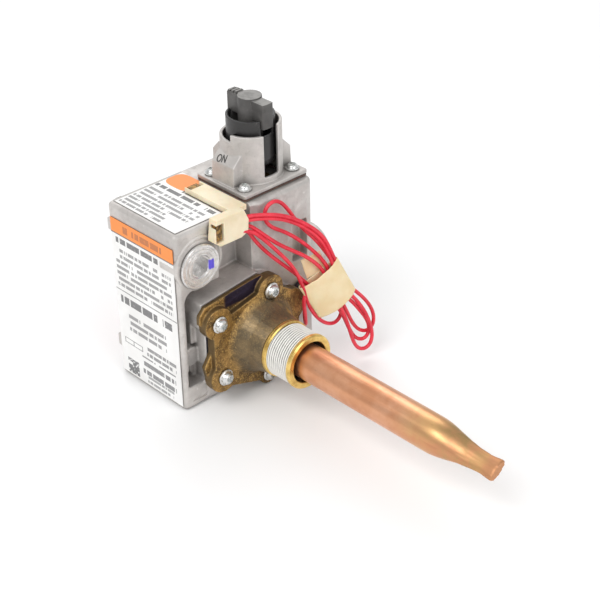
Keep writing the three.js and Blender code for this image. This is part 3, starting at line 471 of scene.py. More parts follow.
def side_layout(g):
    """Orange band across the head of the side label."""
    x, z = g.axis("X"), g.axis("Z")
    return g.marks(x, z, SIDE_BARS, SIDE_ROWS), g.math("GREATER_THAN", z, 80.2 * MM)


def top_layout(g):
    """Orange patch with round corners on the top label."""
    x, y = g.axis("X"), g.axis("Y")
    across = g.math("ABSOLUTE", g.math("DIVIDE", g.math("ADD", x, 12.6 * MM), 8.8 * MM))
    deep = g.math("ABSOLUTE", g.math("DIVIDE", g.math("ADD", y, 5.6 * MM), 6.3 * MM))
    total = g.math("ADD", g.math("POWER", across, 3.2), g.math("POWER", deep, 3.2))
    return g.marks(x, y, (), TOP_ROWS), g.math("LESS_THAN", total, 1.0)


MATERIALS = {
    "cast": cast_aluminium(),
    "brass": aged_brass(),
    "ring": polished_brass(),
    "tape_thread": thread_tape(),
    "copper": copper(),
    "zinc": zinc(),
    "plug": turned_metal(),
    "knob": knob_plastic(),
    "sleeve": black_plastic(),
    "dial": dial_plastic(),
    "steel": plain("bright_steel", (0.50, 0.51, 0.52), (0.66, 0.67, 0.68), 0.34, 0.95, 300, 0.2),
    "part_brass": plain("part_brass", (0.58, 0.40, 0.15), (0.76, 0.55, 0.23), 0.34, 0.95, 260, 0.2),
    "rubber": plain("rubber", (0.014, 0.012, 0.017), (0.030, 0.026, 0.036), 0.7, 0.0, 250, 0.4),
    "fibre": plain("gasket_fibre", (0.10, 0.06, 0.05), (0.19, 0.115, 0.09), 0.8, 0.0, 400, 0.5),
    "nylon": plain("cream_nylon", (0.78, 0.66, 0.45), (0.86, 0.76, 0.56), 0.4, 0.0, 120, 0.12,
                   Subsurface_Weight=0.2, Subsurface_Scale=0.002),
    "lead": red_lead(),
    "tape": masking_tape(),
    # the terminals' dark brown is painted shade of the connector's cavity, with brass showing in specks
    "terminal": plain("terminal_shade_and_brass", (0.05, 0.028, 0.012), (0.46, 0.27, 0.08), 0.45, 0.6, 700, 0.5),
    "side_label": label_paper("side_label_paper", side_layout),
    "top_label": label_paper("top_label_paper", top_layout, -0.0213),
    "mark": plain("raised_mark", (0.74, 0.73, 0.71), (0.84, 0.83, 0.81), 0.5, 0.0, 400, 0.2),
}


# ------------------------------------------------------------------ mesh helpers
def new_object(name, mesh, material=None, smooth=35):
    thing = bpy.data.objects.new(name, mesh)
    bpy.context.scene.collection.objects.link(thing)
    if material is not None:
        mesh.materials.clear()
        mesh.materials.append(MATERIALS[material])
    if smooth is not None:
        shade(mesh, smooth)
    return thing


def shade(mesh, angle):
    mesh.shade_smooth()
    mesh.set_sharp_from_angle(angle=math.radians(angle))


def to_mesh(bm, name="piece"):
    bmesh.ops.remove_doubles(bm, verts=bm.verts, dist=1e-7)
    bmesh.ops.recalc_face_normals(bm, faces=bm.faces)
    mesh = bpy.data.meshes.new(name)
    bm.to_mesh(mesh)
    bm.free()
    return mesh


def lathe(profile, where, sides=96):
    """Solid of revolution from [(radius, along)] in millimetres, on the axis at both ends or closed."""
    bm = bmesh.new()
    rings = []
    for radius, along in profile:
        if radius < 1e-6:
            rings.append([bm.verts.new((0, 0, along * MM))] * sides)
        else:
            rings.append([bm.verts.new((*polar(radius * MM, TAU * i / sides), along * MM))
                          for i in range(sides)])
    for low, high in zip(rings, rings[1:]):
        for i in range(sides):
            j = (i + 1) % sides
            corners = []
            for corner in (low[i], low[j], high[j], high[i]):
                if corner not in corners:
                    corners.append(corner)
            if len(corners) > 2:
                bm.faces.new(corners)
    bm.transform(where)
    return to_mesh(bm)


def rod(radius, low, high, where, sides=96):
    return lathe([(0, low), (radius, low), (radius, high), (0, high)], where, sides)


def prism(points, low, high, where):
    """Flat outline [(u, v)] in millimetres, pushed from low to high."""
    bm = bmesh.new()
    ends = [[bm.verts.new((u * MM, v * MM, at * MM)) for u, v in points] for at in (low, high)]
    bm.faces.new(list(reversed(ends[0])))
    bm.faces.new(ends[1])
    count = len(points)
    for i in range(count):
        j = (i + 1) % count
        bm.faces.new((ends[0][i], ends[0][j], ends[1][j], ends[1][i]))
    bm.transform(where)
    return to_mesh(bm)


def block(x0, x1, y0, y1, z0, z1):
    return prism([(x0, y0), (x1, y0), (x1, y1), (x0, y1)], z0, z1, Matrix.Identity(4))


def rounded(u0, u1, v0, v1, radius, steps=6):
    corners = [(u1 - radius, v0 + radius, -90), (u1 - radius, v1 - radius, 0),
               (u0 + radius, v1 - radius, 90), (u0 + radius, v0 + radius, 180)]
    points = []
    for u, v, start in corners:
        for i in range(steps + 1):
            across, up = polar(radius, math.radians(start + 90 * i / steps))
            points.append((u + across, v + up))
    return points


def carve(base, joins=(), cuts=(), limits=()):
    """base plus joins, minus cuts, kept inside limits, as one mesh."""
    thing = bpy.data.objects.new("piece", base)
    bpy.context.scene.collection.objects.link(thing)
    tools = []
    for operation, meshes in (("UNION", joins), ("DIFFERENCE", cuts), ("INTERSECT", limits)):
        for mesh in meshes:
            tool = bpy.data.objects.new("tool", mesh)
            bpy.context.scene.collection.objects.link(tool)
            step = thing.modifiers.new(operation, "BOOLEAN")
            step.operation = operation
            step.solver = "EXACT"
            step.object = tool
            tools.append(tool)
    result = baked(thing)
    for tool in tools:
        bpy.data.objects.remove(tool, do_unlink=True)
    bpy.data.objects.remove(thing, do_unlink=True)
    return result


def baked(thing):
    """The object's mesh with its modifiers applied, as a new mesh."""
    bpy.context.view_layer.update()
    graph = bpy.context.evaluated_depsgraph_get()
    return bpy.data.meshes.new_from_object(thing.evaluated_get(graph))


def soften(mesh, voxel, passes, keep=None):
    """Rounds the corners of a closed mesh as a casting or moulding has them. voxel in millimetres."""
    thing = bpy.data.objects.new("soft", mesh)
    bpy.context.scene.collection.objects.link(thing)
    add_softening(thing, voxel, passes, keep)
    result = baked(thing)
    bpy.data.objects.remove(thing, do_unlink=True)
    return result


def add_softening(thing, voxel, passes, keep=None):
    grid = thing.modifiers.new("grid", "REMESH")
    grid.mode = "VOXEL"
    grid.voxel_size = voxel * MM
    grid.use_smooth_shade = True
    relax = thing.modifiers.new("relax", "SMOOTH")
    relax.factor = 0.5
    relax.iterations = passes
    if keep is not None:
        thin = thing.modifiers.new("thin", "DECIMATE")
        thin.ratio = keep


def joined(*meshes):
    bm = bmesh.new()
    for mesh in meshes:
        bm.from_mesh(mesh)
    mesh = bpy.data.meshes.new("piece")
    bm.to_mesh(mesh)
    bm.free()
    return mesh


def piece(name, mesh, material, body, replaced=(), smooth=35):
    thing = new_object(name, mesh, material, smooth)
    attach(thing, body)
    if replaced:
        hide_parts(*replaced)
    return thing


# ------------------------------------------------------------------ leads
LEAD_D = 1.9
SMOOTHING = 30                              # passes that ease a route's tight bends
HANK_CENTRE = Vector((42.5, 33.5, 44.9))
HANK_DOWN = Vector((3, 8.5, -17.1)).normalized()
HANK_OUT = Vector((5.4, 20, 10.9)).normalized().cross(HANK_DOWN).normalized()
HANK_SIDE = HANK_DOWN.cross(HANK_OUT)


def hank(side, down, out=0.0):
    return tuple(HANK_CENTRE + HANK_SIDE * side + HANK_DOWN * down + HANK_OUT * out)


def smooth_path(points, spacing=0.7):
    """Centripetal Catmull-Rom curve near the points, in even steps. Millimetres in, metres out."""
    nodes = [Vector(point) for point in points]
    nodes = [2 * nodes[0] - nodes[1]] + nodes + [2 * nodes[-1] - nodes[-2]]
    path = []
    for p0, p1, p2, p3 in zip(nodes, nodes[1:], nodes[2:], nodes[3:]):
        t0 = 0.0
        t1 = t0 + math.sqrt((p1 - p0).length)
        t2 = t1 + math.sqrt((p2 - p1).length)
        t3 = t2 + math.sqrt((p3 - p2).length)
        steps = max(2, round((p2 - p1).length / spacing))
        for i in range(steps):
            t = t1 + (t2 - t1) * i / steps
            a1 = p0.lerp(p1, (t - t0) / (t1 - t0))
            a2 = p1.lerp(p2, (t - t1) / (t2 - t1))
            a3 = p2.lerp(p3, (t - t2) / (t3 - t2))
            b1 = a1.lerp(a2, (t - t0) / (t2 - t0))
            b2 = a2.lerp(a3, (t - t1) / (t3 - t1))
            path.append(b1.lerp(b2, (t - t1) / (t2 - t1)))
    path.append(nodes[-2])
    for _ in range(SMOOTHING):
        inner = [b * 0.5 + (a + c) * 0.25 for a, b, c in zip(path, path[1:], path[2:])]
        path = [path[0], *inner, path[-1]]
    return [point * MM for point in path]


def lead(name, points):
    path = smooth_path(points)
    curve = bpy.data.curves.new(name, "CURVE")
    curve.dimensions = "3D"
    curve.bevel_depth = LEAD_D / 2 * MM
    curve.bevel_resolution = 5
    curve.use_fill_caps = True
    spline = curve.splines.new("POLY")
    spline.points.add(len(path) - 1)
    for point, place_at in zip(spline.points, path):
        point.co = (*place_at, 1)
    curve.materials.append(MATERIALS["lead"])
    thing = bpy.data.objects.new(name, curve)
    bpy.context.scene.collection.objects.link(thing)
    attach(thing, "valve")
    return thing


TURN_UP = [hank(9.0, -10, 1.8), (37.4, 31.6, 68.6), (33.6, 25, 77.6), (31, 20, 87), (29.8, 15.8, 92.6),
           (29.4, 11.4, 94), (29, 7.6, 91.6), (29, 6.8, 86.6), (30, 9.6, 81.6), (32, 15.8, 77.6),
           (35, 22.4, 71.8), (38.4, 28.2, 65), hank(5.4, -10, 0.6)]
OUTER_LOOP = [hank(9.4, 10, 1.2), hank(11.4, 18, 1.8), hank(12.8, 26, 2.2), hank(12.6, 33, 2.2),
              hank(10, 39, 2), hank(5.6, 41, 2), hank(2, 37.6, 2.2), hank(0.9, 31, 2.2), hank(1.6, 22, 1.8),
              hank(2.6, 10, 1.2)]
LOW_LOOP = [hank(6.6, 9, -0.5), hank(7.6, 14.5, -0.7), hank(8.3, 20, -1.6), hank(8.3, 27, -2.2),
            hank(6.9, 36, -2.2), hank(4.4, 42.4, -2.2), hank(0, 45.6, -2.2), hank(-4.2, 43, -2.2),
            hank(-4.6, 37, -2.2), hank(-2.6, 28, -2), hank(-1, 20, -1.6), hank(-0.2, 14.5, -0.7),
            hank(0.4, 9, -0.5)]
MIDDLE_LOOP = [hank(4.6, 10, 0), hank(6.2, 18, 0), hank(7.2, 27, 0), hank(7.4, 34.6, 0.1),
               hank(4.8, 40.6, 0.2), hank(1, 42, 0.2), hank(-2.2, 38.2, 0.1), hank(-2.4, 30, 0),
               hank(-1.2, 20, 0), hank(-1.8, 10, 0)]
SIDE_LOOP = [hank(-12.2, 1.4, 0.4), hank(-12.6, 7, 0.6), hank(-12.0, 14, 1.2), hank(-9.6, 20.6, 2),
             hank(-5.4, 24.4, 3), hank(-0.8, 22.4, 3.6), hank(1.4, 16, 3), hank(1.2, 9.6, 1.6)]

top_lead = lead("lead_top", [
    (28.6, -7, 91.8), (28.9, -2.8, 91.6), (31.5, 4, 90.6), (34, 13, 87.8), (37, 23, 81.6),
    (40.8, 32.6, 71.8),
    hank(10.2, -10), hank(9.6, 0, 0.6), *OUTER_LOOP, hank(3.6, 0, 0.8), *reversed(TURN_UP),
    hank(8.6, -2, 0.6), hank(7.4, 6, -0.6), *LOW_LOOP, hank(1.4, 0, -1), hank(2.4, -10), (39.4, 22.4, 64.6),
    (37, 15, 70.2), (34.8, 8.6, 75.4), (31.8, 2.4, 81.9), (28.2, -2.8, 87), (27.8, -7, 88)])
inner_lead = lead("lead_inner", [
    (28.6, -7, 89.7), (28.9, -2.8, 89.6), (31.3, 4, 88.6), (33.8, 13, 85.8), (36.6, 22.8, 79.6),
    (39.9, 31.9, 70), hank(8.3, -10, -0.6), hank(6.4, 0, -0.3), *MIDDLE_LOOP, hank(-5, 1, 0.6),
    hank(-7.8, -10, 1.2), (36.8, 18, 56.2), (34.2, 12.8, 62), (30.8, 6.4, 69.6), (28.3, 0.8, 77.8),
    (27.4, -2.8, 84.4), (27.2, -7, 86)])
low_lead = lead("lead_low", [
    (29.6, -7, 85.6), (30.2, -2.8, 84.6), (33, 2.6, 79), (36.4, 8.6, 71), (38.6, 14, 63.2),
    (39.4, 17.6, 56.2),
    hank(-9.8, -10, -0.6), hank(-10.4, -4, -0.4), *SIDE_LOOP, hank(0.2, 2, 1.2), hank(-4.4, -3.4, 1.2),
    hank(-9.2, -5, 0.8), (39.4, 21.1, 41.4), (39, 22.1, 34.5), (38.2, 23.4, 28), (36.4, 25.2, 23.6),
    (33.8, 27.2, 22.4), (31.6, 28.8, 25.2), (30.7, 29.8, 30), (30.6, 30, 35.2), (30.1, 30, 37.2),
    (28.7, 30, 38.5), (26.8, 30, 39)])


def tape_mesh():
    """The tape's flattened sleeve round the bundle: open at both ends and creased, with wavy edges."""
    around, along = 96, 40
    bm = bmesh.new()
    rows = []
    for j in range(along + 1):
        v = j / along
        row = []
        for i in range(around):
            angle = TAU * i / around
            side = math.copysign(abs(math.cos(angle)) ** 0.75, math.cos(angle)) * 11.7
            side *= 1 - 0.07 * v if side > 0 else 1.0
            down = -9.8 + 21.6 * v + (1.4 + 1.2 * v) * (1 - (side / 11.8) ** 2)
            thick = math.copysign(abs(math.sin(angle)) ** 0.8, math.sin(angle))
            thick *= 2.35 - 0.5 * abs(v - 0.5)
            seed = Vector((side * 0.16, down * 0.09, thick * 0.3))
            crease = noise.noise(seed * 1.7) * 0.34 + noise.noise(seed * 5.1) * 0.12
            edge = 0.35 * noise.noise(Vector((side * 0.5, 7.0, angle))) if j in (0, along) else 0.0
            corner = hank(side * (1 + 0.02 * crease), down + edge, thick + crease * 0.5)
            row.append(bm.verts.new(Vector(corner) * MM))
        rows.append(row)
    for low, high in zip(rows, rows[1:]):
        for i in range(around):
            k = (i + 1) % around
            bm.faces.new((low[i], low[k], high[k], high[i]))
    return to_mesh(bm)


def sheet_mesh(corner, columns=18, rows=18):
    """Thin sheet from a function of (u, v) in 0..1 that returns a point in millimetres."""
    bm = bmesh.new()
    grid = [[bm.verts.new(Vector(corner(i / columns, j / rows)) * MM) for i in range(columns + 1)]
            for j in range(rows + 1)]
    for low, high in zip(grid, grid[1:]):
        for i in range(columns):
            bm.faces.new((low[i], low[i + 1], high[i + 1], high[i]))
    return to_mesh(bm)


def tape_tail(u, v):
    left = -5.8 + 2.6 * v
    right = 5.6 + 1.2 * v
    side = left + (right - left) * u
    down = -9.0 - 10.2 * v + 2.4 * u * v + 2.0 * u * (1 - v)
    out = 2.2 + 1.1 * v + 0.5 * noise.noise(Vector((side * 0.2, down * 0.2, 3.0)))
    return hank(side, down, out)


def thicken(thing, thickness, offset=-1.0):
    shell = thing.modifiers.new("thickness", "SOLIDIFY")
    shell.thickness = thickness * MM
    shell.offset = offset


tape = piece("tape_sleeve", tape_mesh(), "tape", "valve", ("tape_wrap",), 60)
thicken(tape, 0.25)
tail = piece("tape_tail", sheet_mesh(tape_tail), "tape", "valve", (), 60)
thicken(tail, 0.22, 0)

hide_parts("lead_top_outer", "lead_turn", "lead_middle", "lead_hank")
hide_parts("lead_top_inner", "lead_low_inner")
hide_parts("lead_low_outer", "lead_return")

# ------------------------------------------------------------------ pieces kept from the CAD
def coat(node, material):
    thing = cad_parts[node]
    thing.data.materials.clear()
    thing.data.materials.append(MATERIALS[material])
    return thing


for node, material, voxel, passes, keep in (
        ("valve_housing", "cast", 0.42, 7, 0.35), ("front_cover", "cast", 0.5, 5, 0.35),
        ("lead_connector", "nylon", 0.22, 5, 0.5)):
    add_softening(coat(node, material), voxel, passes, keep)

KEPT = {
    "steel": ("knob_spring", "pilot_stem", "safety_spring", "thermostat_rod", "snap_lever", "lever_pin",
              "main_valve_spring", "regulator_spring", "regulator_plate", "inlet_screen"),
    "part_brass": ("cock_core", "dial_shaft", "thermal_cutoff", "safety_magnet", "regulator_adjuster"),
    "rubber": ("flange_gasket", "safety_valve_disc", "main_valve_disc", "regulator_diaphragm",
               "lead_grommet"),
    "fibre": ("tower_gasket",),
    "terminal": ("terminal_front", "terminal_rear"),
    "side_label": ("side_label",),
    "top_label": ("top_label",),
}
for material, names in KEPT.items():
    for node in names:
        coat(node, material)


# ------------------------------------------------------------------ gas cock tower
def sector(start, end, low, high, reach=20):
    """Wedge of space round the cock's axis, between two angles in degrees."""
    count = max(2, math.ceil((end - start) / 10))
    points = [(0, 0)] + [polar(reach, math.radians(start + (end - start) * i / count))
                         for i in range(count + 1)]
    return prism(points, low, high, place("z", COCK_X, COCK_Y))


def tower_mesh():
    at = place("z", COCK_X, COCK_Y)
    plate = prism(rounded(-11.8, 22.2, 1.5, 41.2, 1.2), 95.2, 97.2, Matrix.Identity(4))
    barrel = rod(14.6, 95.5, 124, at, 128)
    index_block = [(11, 96), (18.4, 96), (17.9, 107), (13.4, 111.6), (11, 111.6)]
    blocks = []
    for degrees, half, reach in ((-90, 7.5, 1.0), (90, 7.5, 1.0), (180, 9.5, 0.93)):
        stand = Matrix(((reach, 0, 0, 0), (0, 0, -1, 0), (0, 1, 0, 0), (0, 0, 0, 1)))
        blocks.append(prism(index_block, -half, half, round_cock(degrees) @ stand))
    slot_cut = block(COCK_X, COCK_X + 20, COCK_Y - 4.35, COCK_Y + 4.35, 100, 126)
    cuts = [rod(13.0, 94, 126, at, 128), slot_cut, sector(180, 278, 117.5, 126), sector(276, 345, 121, 126)]
    cuts += [rod(2.2, 94, 99, place("z", x, y), 32) for x, y in TOWER_SCREWS.values()]
    return soften(carve(plate, [barrel, *blocks], cuts), 0.26, 6, 0.5)


TOWER_SCREWS = {"front": (16.8, 6.4), "right": (16.8, 36.4), "left": (-6.4, 6.4), "back": (-6.4, 36.4)}
piece("tower_casting", tower_mesh(), "cast", "valve", ("cock_tower",), 50)


WORD_TILT, WORD_HEIGHT = 45, 0.2


def word(text, size, where, width):
    """Raised lettering for the cock's positions; drawn in black as painted shade, standing in for the dark
    of engraved letters.
    """
    curve = bpy.data.curves.new(text, "FONT")
    curve.body = text
    curve.size = size * MM
    curve.extrude = WORD_HEIGHT * MM
    curve.align_x = "CENTER"
    curve.align_y = "CENTER"
    thing = bpy.data.objects.new(text, curve)
    bpy.context.scene.collection.objects.link(thing)
    mesh = baked(thing)
    bpy.data.objects.remove(thing, do_unlink=True)
    mesh.transform(where @ Matrix.Diagonal((width, 1, 1, 1)))
    return mesh


def face_frame(degrees, outward, height, aside, turned):
    """Frame on an index block's slope, facing outward at an angle round the cock."""
    stand = Matrix(((0, 0, 1, 0), (1, 0, 0, 0), (0, 1, 0, 0), (0, 0, 0, 1)))
    lean = Matrix.Rotation(math.radians(-WORD_TILT), 4, "Y")
    roll = Matrix.Rotation(math.radians(turned), 4, "Z")
    seat = round_cock(degrees) @ Matrix.Translation(Vector((outward, aside, height)) * MM)
    return seat @ lean @ stand @ roll


for text, degrees, outward, height, size, aside, turned, width in (
        ("ON", -90, 16.4, 108.5, 5.6, -2.1, 12, 0.68), ("OFF", 90, 15.9, 109.2, 4.6, 0, 0, 0.9),
        ("PILOT", 180, 14.8, 109.2, 4.2, 0, 0, 0.85)):
    letters = word(text, size, face_frame(degrees, outward, height, aside, turned), width)
    # black letters: painted shade of engraved lettering
    piece("tower_word_" + text.lower(), letters, "sleeve", "valve", (), 30)


# ------------------------------------------------------------------ knob and sleeve
KNOB_HALF = 3.15                            # half of the bar's thickness


def knob_mesh():
    at = place("z", COCK_X, COCK_Y)
    half = KNOB_HALF
    wing = block(COCK_X - 13, COCK_X + 13, COCK_Y - half, COCK_Y + half, 126, 135.2)
    feet = [block(COCK_X + 9.2, COCK_X + 13, COCK_Y - half, COCK_Y + half, 123, 127),
            block(COCK_X - 13, COCK_X - 9.2, COCK_Y - half, COCK_Y + half, 118.2, 127)]
    teeth = [block(COCK_X - 11.6 + 2.3 * i, COCK_X - 10.2 + 2.3 * i, COCK_Y - half, COCK_Y + 1.2,
                   134, 136.2 + 0.3 * i) for i in range(3)]
    bar = carve(wing, feet + teeth, (), [rod(12.6, 100, 137, at, 128)])
    post = rod(5.75, 112, 136, at, 96)
    return soften(carve(bar, [post], [rod(4.6, 111, 119, at, 64)]), 0.17, 7, 0.5)


piece("knob_bar", knob_mesh(), "knob", "cock_knob", ("gas_cock_knob",), 50)


def sleeve_mesh():
    at = place("z", COCK_X, COCK_Y)
    cup = lathe([(2.6, 104), (10.3, 104), (11.5, 107), (11.5, 127.3), (10.2, 127.3), (10.2, 107),
                 (2.6, 107), (2.6, 104)], at, 128)
    # the bar's two slots go down to where its feet are when it is pressed
    keys = [block(COCK_X + side * 11.5 - 2.6, COCK_X + side * 11.5 + 2.6,
                  COCK_Y - KNOB_HALF - 0.35, COCK_Y + KNOB_HALF + 0.35, low, 129)
            for side, low in ((1, 119.1), (-1, 114.3))]
    window = rod(5, COCK_Y - 14, COCK_Y - 8, place("y", COCK_X + 4, 0, 116), 64)
    hub = lathe([(2.6, 98), (6.4, 98), (6.4, 104.5), (2.6, 104.5), (2.6, 98)], at, 64)
    tongues = [block(COCK_X + low, COCK_X + low + 3.2, COCK_Y - 1.6, COCK_Y + 1.6, 90.4, 98.5)
               for low in (-6, 2.8)]
    rib = lathe([(8.2, 106.5), (9.0, 106.5), (9.0, 122.6), (8.2, 122.6), (8.2, 106.5)], at, 96)
    gaps = [block(COCK_X + side * 9 - 3, COCK_X + side * 9 + 3, COCK_Y - 5.4, COCK_Y + 5.4, 108, 129)
            for side in (1, -1)]
    return soften(joined(carve(cup, (), [*keys, window]), hub, *tongues, carve(rib, (), gaps)), 0.2, 4, 0.5)


piece("sleeve_cup", sleeve_mesh(), "sleeve", "gas_cock", ("knob_sleeve",), 50)


# ------------------------------------------------------------------ shank flange
def flange_mesh():
    """The flange's own solid up to its rear ring, with cast corners."""
    bm = bmesh.new()
    bm.from_mesh(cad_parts["shank_flange"].data)
    bmesh.ops.remove_doubles(bm, verts=bm.verts, dist=2e-6)
    cut = bmesh.ops.bisect_plane(bm, geom=bm.verts[:] + bm.edges[:] + bm.faces[:], plane_co=(0.0505, 0, 0),
                                 plane_no=(1, 0, 0), clear_outer=True)
    edges = [item for item in cut["geom_cut"] if isinstance(item, bmesh.types.BMEdge)]
    bmesh.ops.holes_fill(bm, edges=[e for e in bm.edges if e.is_boundary] or edges, sides=0)
    mesh = bpy.data.meshes.new("flange")
    bm.to_mesh(mesh)
    bm.free()
    return soften(mesh, 0.33, 10, 0.5)


def ring_mesh(low, high, outer, inner, chamfer=0.5):
    return lathe([(inner, low), (outer - chamfer, low), (outer, low + chamfer), (outer, high - chamfer),
                  (outer - chamfer, high), (inner + 0.3, high), (inner, high - 0.3), (inner, low)],
                 place("x", 0, TUBE_Y, TUBE_Z), 128)


def thread_mesh(low=53.0, high=65.8, pitch=1.27):
    """Pipe thread wrapped in tape: one helical ridge on a closed sleeve."""
    around, along = 120, 150
    bm = bmesh.new()
    rows = []
    for j in range(along + 1):
        x = low + (high - low) * j / along
        row = []
        for i in range(around):
            angle = TAU * i / around
            phase = ((x - low) / pitch - i / around) % 1.0
            ridge = min(1.0, max(0.0, 0.5 - 0.9 * math.cos(TAU * phase) + 0.2))
            wrap = 0.05 * noise.noise(Vector((x * 0.7, *polar(3, angle))))
            radius = 12.55 + 0.75 * ridge - 0.02 * (x - low) + wrap
            row.append(bm.verts.new((*polar(radius * MM, angle), x * MM)))
        rows.append(row)
    for at in (high, low):
        rows.append([bm.verts.new((*polar(10.6 * MM, TAU * i / around), at * MM)) for i in range(around)])
    rows.append(rows[0])
    for near, far in zip(rows, rows[1:]):
        for i in range(around):
            k = (i + 1) % around
            bm.faces.new((near[i], near[k], far[k], far[i]))
    bm.transform(place("x", 0, TUBE_Y, TUBE_Z))
    return to_mesh(bm)


flange = piece("flange_casting", flange_mesh(), "brass", "valve", ("shank_flange",), 60)
piece("shank_ring_rear", ring_mesh(50.5, 53.1, 14.1, 8.9), "ring", "valve")
piece("shank_ring_front", ring_mesh(65.6, 68.4, 13.5, 10.3, 0.7), "ring", "valve")
piece("shank_threads", thread_mesh(), "tape_thread", "valve", (), 60)


# ------------------------------------------------------------------ immersion tube
def tube_mesh():
    sides = 96
    outside = [(42, 8.5), (60, 8.5), (80, 8.5), (100, 8.5), (120, 8.5), (134, 8.5), (141, 8.5), (146, 8.42),
               (149, 8.1), (152, 7.6), (155, 6.95), (158, 6.25), (161, 5.6), (164, 5.1), (167, 4.72),
               (170, 4.45), (172.5, 4.36), (174.5, 4.42), (176.5, 4.6), (178.2, 4.82), (178.9, 4.78),
               (179.3, 4.4)]
    inside = [(165, 0.0), (164.6, 1.6), (158, 4.0), (150, 6.6), (146, 7.6), (42, 7.7)]
    profile = [(0.0, 179.3)] + [(r, x) for x, r in [*reversed(outside), *reversed(inside)]]
    bm = bmesh.new()
    bm.from_mesh(lathe(profile, Matrix.Identity(4), sides))
    turn = Matrix.Rotation(0.62, 3, "Z")
    for vert in bm.verts:
        x = vert.co.z / MM
        share = min(1.0, max(0.0, (x - 150) / 21))
        share = share * share * (3 - 2 * share)
        flat = vert.co.xy
        wrinkle = 1 + 0.05 * share * noise.noise(Vector((flat.x * 900, flat.y * 900, x * 0.25)))
        vert.co.x = flat.x * (1 + 0.06 * share) * wrinkle
        vert.co.y = flat.y * (1 - 0.52 * share) * wrinkle
        if x > 178.5:
            vert.co.z += 0.35 * MM * noise.noise(Vector((flat.x * 700, flat.y * 700, 2.0)))
        vert.co = turn @ vert.co
    bm.transform(place("x", 0, TUBE_Y, TUBE_Z))
    return to_mesh(bm)


piece("tube_shell", tube_mesh(), "copper", "valve", ("immersion_tube",), 40)


# ------------------------------------------------------------------ screws
FLANGE_SCREWS = {"upper_left": (-27.7, 47.4), "upper_right": (4.4, 51.7), "lower_left": (-25.7, 17.3),
                 "lower_right": (1.8, 6.6)}
COVER_SCREWS = {"lower_left": (-32.5, 8.5), "lower_right": (32.5, 8.5), "upper_left": (-32.5, 88),
                "upper_right": (32.5, 88)}


def recess_outline(radius, lobes=6, steps=48):
    return [polar(radius * (1 + 0.16 * math.cos(lobes * TAU * i / steps)), TAU * i / steps)
            for i in range(steps)]


def screw_mesh(head, height, shank, length, seat, where, flip):
    """Domed pan head with a washer face and a lobed recess."""
    def at(value):
        return seat + flip * value
    profile = [(0, at(-length)), (shank, at(-length)), (shank, at(0.3)), (head, at(0.3)),
               (head + 0.05, at(0.75)), (head - 0.55, at(0.95)), (head - 0.75, at(1.15)),
               (head - 0.9, at(0.3 + 0.62 * height)), (head - 1.35, at(0.3 + 0.86 * height)),
               (head - 2.1, at(0.3 + 0.98 * height)), (0, at(0.3 + height))]
    body = lathe(profile, where, 64)
    low, high = sorted((at(0.3 + height * 0.45), at(height + 2)))
    return carve(body, (), [prism(recess_outline(0.42 * head), low, high, where)])


# group, axis, way the head faces, head radius and height, shank radius and length, seat, places
for group, axis, flip, head, height, shank, length, seat, places in (
        ("flange", "x", 1, 4, 3, 2.2, 15, 35, FLANGE_SCREWS),
        ("tower", "z", 1, 3.3, 2.4, 1.8, 12, 97.2, TOWER_SCREWS),
        ("cover", "x", -1, 3.6, 2.2, 1.8, 11, -27.3, COVER_SCREWS)):
    for corner, spot in places.items():
        where = place(axis, 0, *spot) if axis == "x" else place(axis, *spot)
        mesh = screw_mesh(head, height, shank, length, seat, where, flip)
        piece(group + "_bolt_" + corner, mesh, "zinc", "valve", (group + "_screw_" + corner,))


# ------------------------------------------------------------------ regulator plug
def plug_mesh():
    at = place("x", 0, PLUG_Y, PLUG_Z)
    body = lathe([(0, 15.3), (9.2, 15.3), (9.2, 25.3), (10.8, 25.3), (11, 25.5), (11, 26.1), (10.5, 26.6),
                  (9.6, 26.6), (9.3, 26.2), (8.7, 26.2), (8.4, 26.6), (7.3, 26.6), (7.1, 26.4), (6.7, 26.4),
                  (6.5, 26.6), (0, 26.6)], at, 128)
    hexagon = [(5.1 * math.cos(TAU * i / 6 + 0.3), 5.5 * math.sin(TAU * i / 6 + 0.3)) for i in range(6)]
    socket = prism(hexagon, 21, 28, at)
    lead_in = lathe([(0, 25.9), (5.2, 25.9), (6.0, 26.8), (0, 26.8)], at, 96)
    return carve(body, (), [socket, lead_in])


boss = lathe([(11.3, 13), (13.7, 13), (13.7, 24.5), (13.1, 25.1), (12.1, 25.1), (11.7, 24.6), (11.3, 24.6),
              (11.3, 13)], place("x", 0, PLUG_Y + 0.6, PLUG_Z + 1.4), 128)
piece("regulator_boss", soften(boss, 0.22, 3, 0.5), "cast", "valve", (), 50)
piece("plug_turned", plug_mesh(), "plug", "valve", ("regulator_plug",), 30)


# ------------------------------------------------------------------ temperature dial
def dial_mesh():
    at = place("x", 0, TUBE_Y, TUBE_Z)
    disc = lathe([(0, -28.3), (21.4, -28.3), (22, -28.9), (22, -35.2), (21.2, -36), (18.6, -36),
                  (18.2, -35.5), (0, -35.5)], at, 128)
    flutes = []
    for i in range(36):
        aside, up = polar(22.4, TAU * i / 36)
        flutes.append(rod(0.9, -37, -30.6, place("x", 0, TUBE_Y + aside, TUBE_Z + up), 16))
    grip = prism(rounded(-3.8, 3.8, -17, 17, 3.6), -40.9, -34, at)
    return soften(carve(disc, [grip], [joined(*flutes), rod(3.4, -33, -28, at, 48)]), 0.3, 5, 0.5)


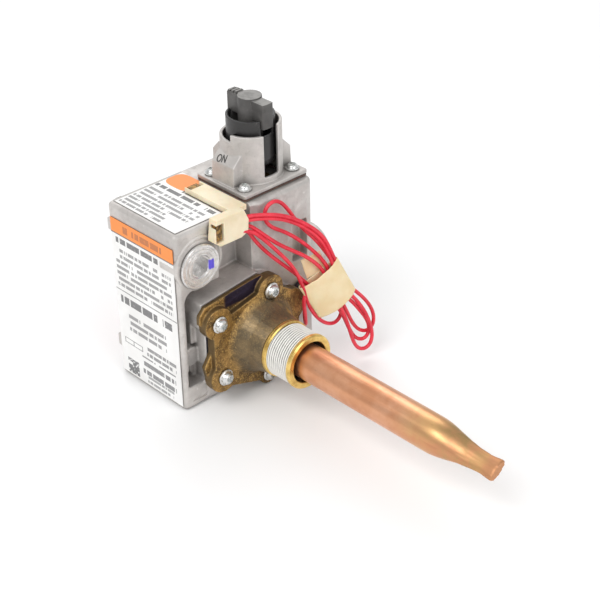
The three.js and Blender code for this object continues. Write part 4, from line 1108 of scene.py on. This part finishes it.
piece("dial_knob", dial_mesh(), "dial", "dial", ("temperature_dial",), 50)
ticks = []
for i in range(9):
    angle = math.radians(-120 + 30 * i)
    at = place("x", 0, TUBE_Y, TUBE_Z) @ Matrix.Rotation(angle, 4, "Z")
    ticks.append(prism(rounded(-0.35, 0.35, 13.0, 16.8 if i % 2 == 0 else 15.4, 0.3, 4), -35.75, -35.2, at))
piece("dial_marks", joined(*ticks), "mark", "dial")
pointer = prism([(-1.6, 27.6), (1.6, 27.6), (0, 30.4)], -28.0, -27.0, place("x", 0, TUBE_Y, TUBE_Z))
piece("cover_pointer", soften(pointer, 0.12, 2), "mark", "valve")


# ------------------------------------------------------------------ stage and light
def add_stage():
    bm = bmesh.new()
    bmesh.ops.create_grid(bm, x_segments=2, y_segments=2, size=3.0)
    floor = bpy.data.objects.new("floor", bpy.data.meshes.new("floor"))
    bm.to_mesh(floor.data)
    bm.free()
    floor.location.z = -0.0002
    bpy.context.scene.collection.objects.link(floor)
    g = Graph("floor_paper")
    tone = g.mix(g.noise(3, 2), (0.93, 0.93, 0.93), (0.95, 0.95, 0.95))
    floor.data.materials.append(g.done(tone, 0.9))


def add_light(name, place_at, size, power):
    lamp = bpy.data.lights.new(name, "AREA")
    lamp.shape = "RECTANGLE"
    lamp.size, lamp.size_y = size
    lamp.energy = power
    thing = bpy.data.objects.new(name, lamp)
    bpy.context.scene.collection.objects.link(thing)
    thing.location = place_at
    aim = Vector((0.03, 0, 0.05)) - Vector(place_at)
    thing.rotation_euler = aim.to_track_quat("-Z", "Y").to_euler()


add_stage()
add_light("key", (0.15, -0.9, 1.1), (0.9, 0.7), 8.5)
add_light("fill", (1.1, -0.1, 0.6), (0.8, 0.8), 3.6)
add_light("back", (-0.7, 0.6, 0.9), (0.9, 0.7), 4.2)
world = bpy.data.worlds.new("studio")
bpy.context.scene.world = world
world.use_nodes = True
world.node_tree.nodes["Background"].inputs["Color"].default_value = (1, 1, 1, 1)
world.node_tree.nodes["Background"].inputs["Strength"].default_value = 0.64
bpy.context.scene.view_settings.view_transform = "Standard"
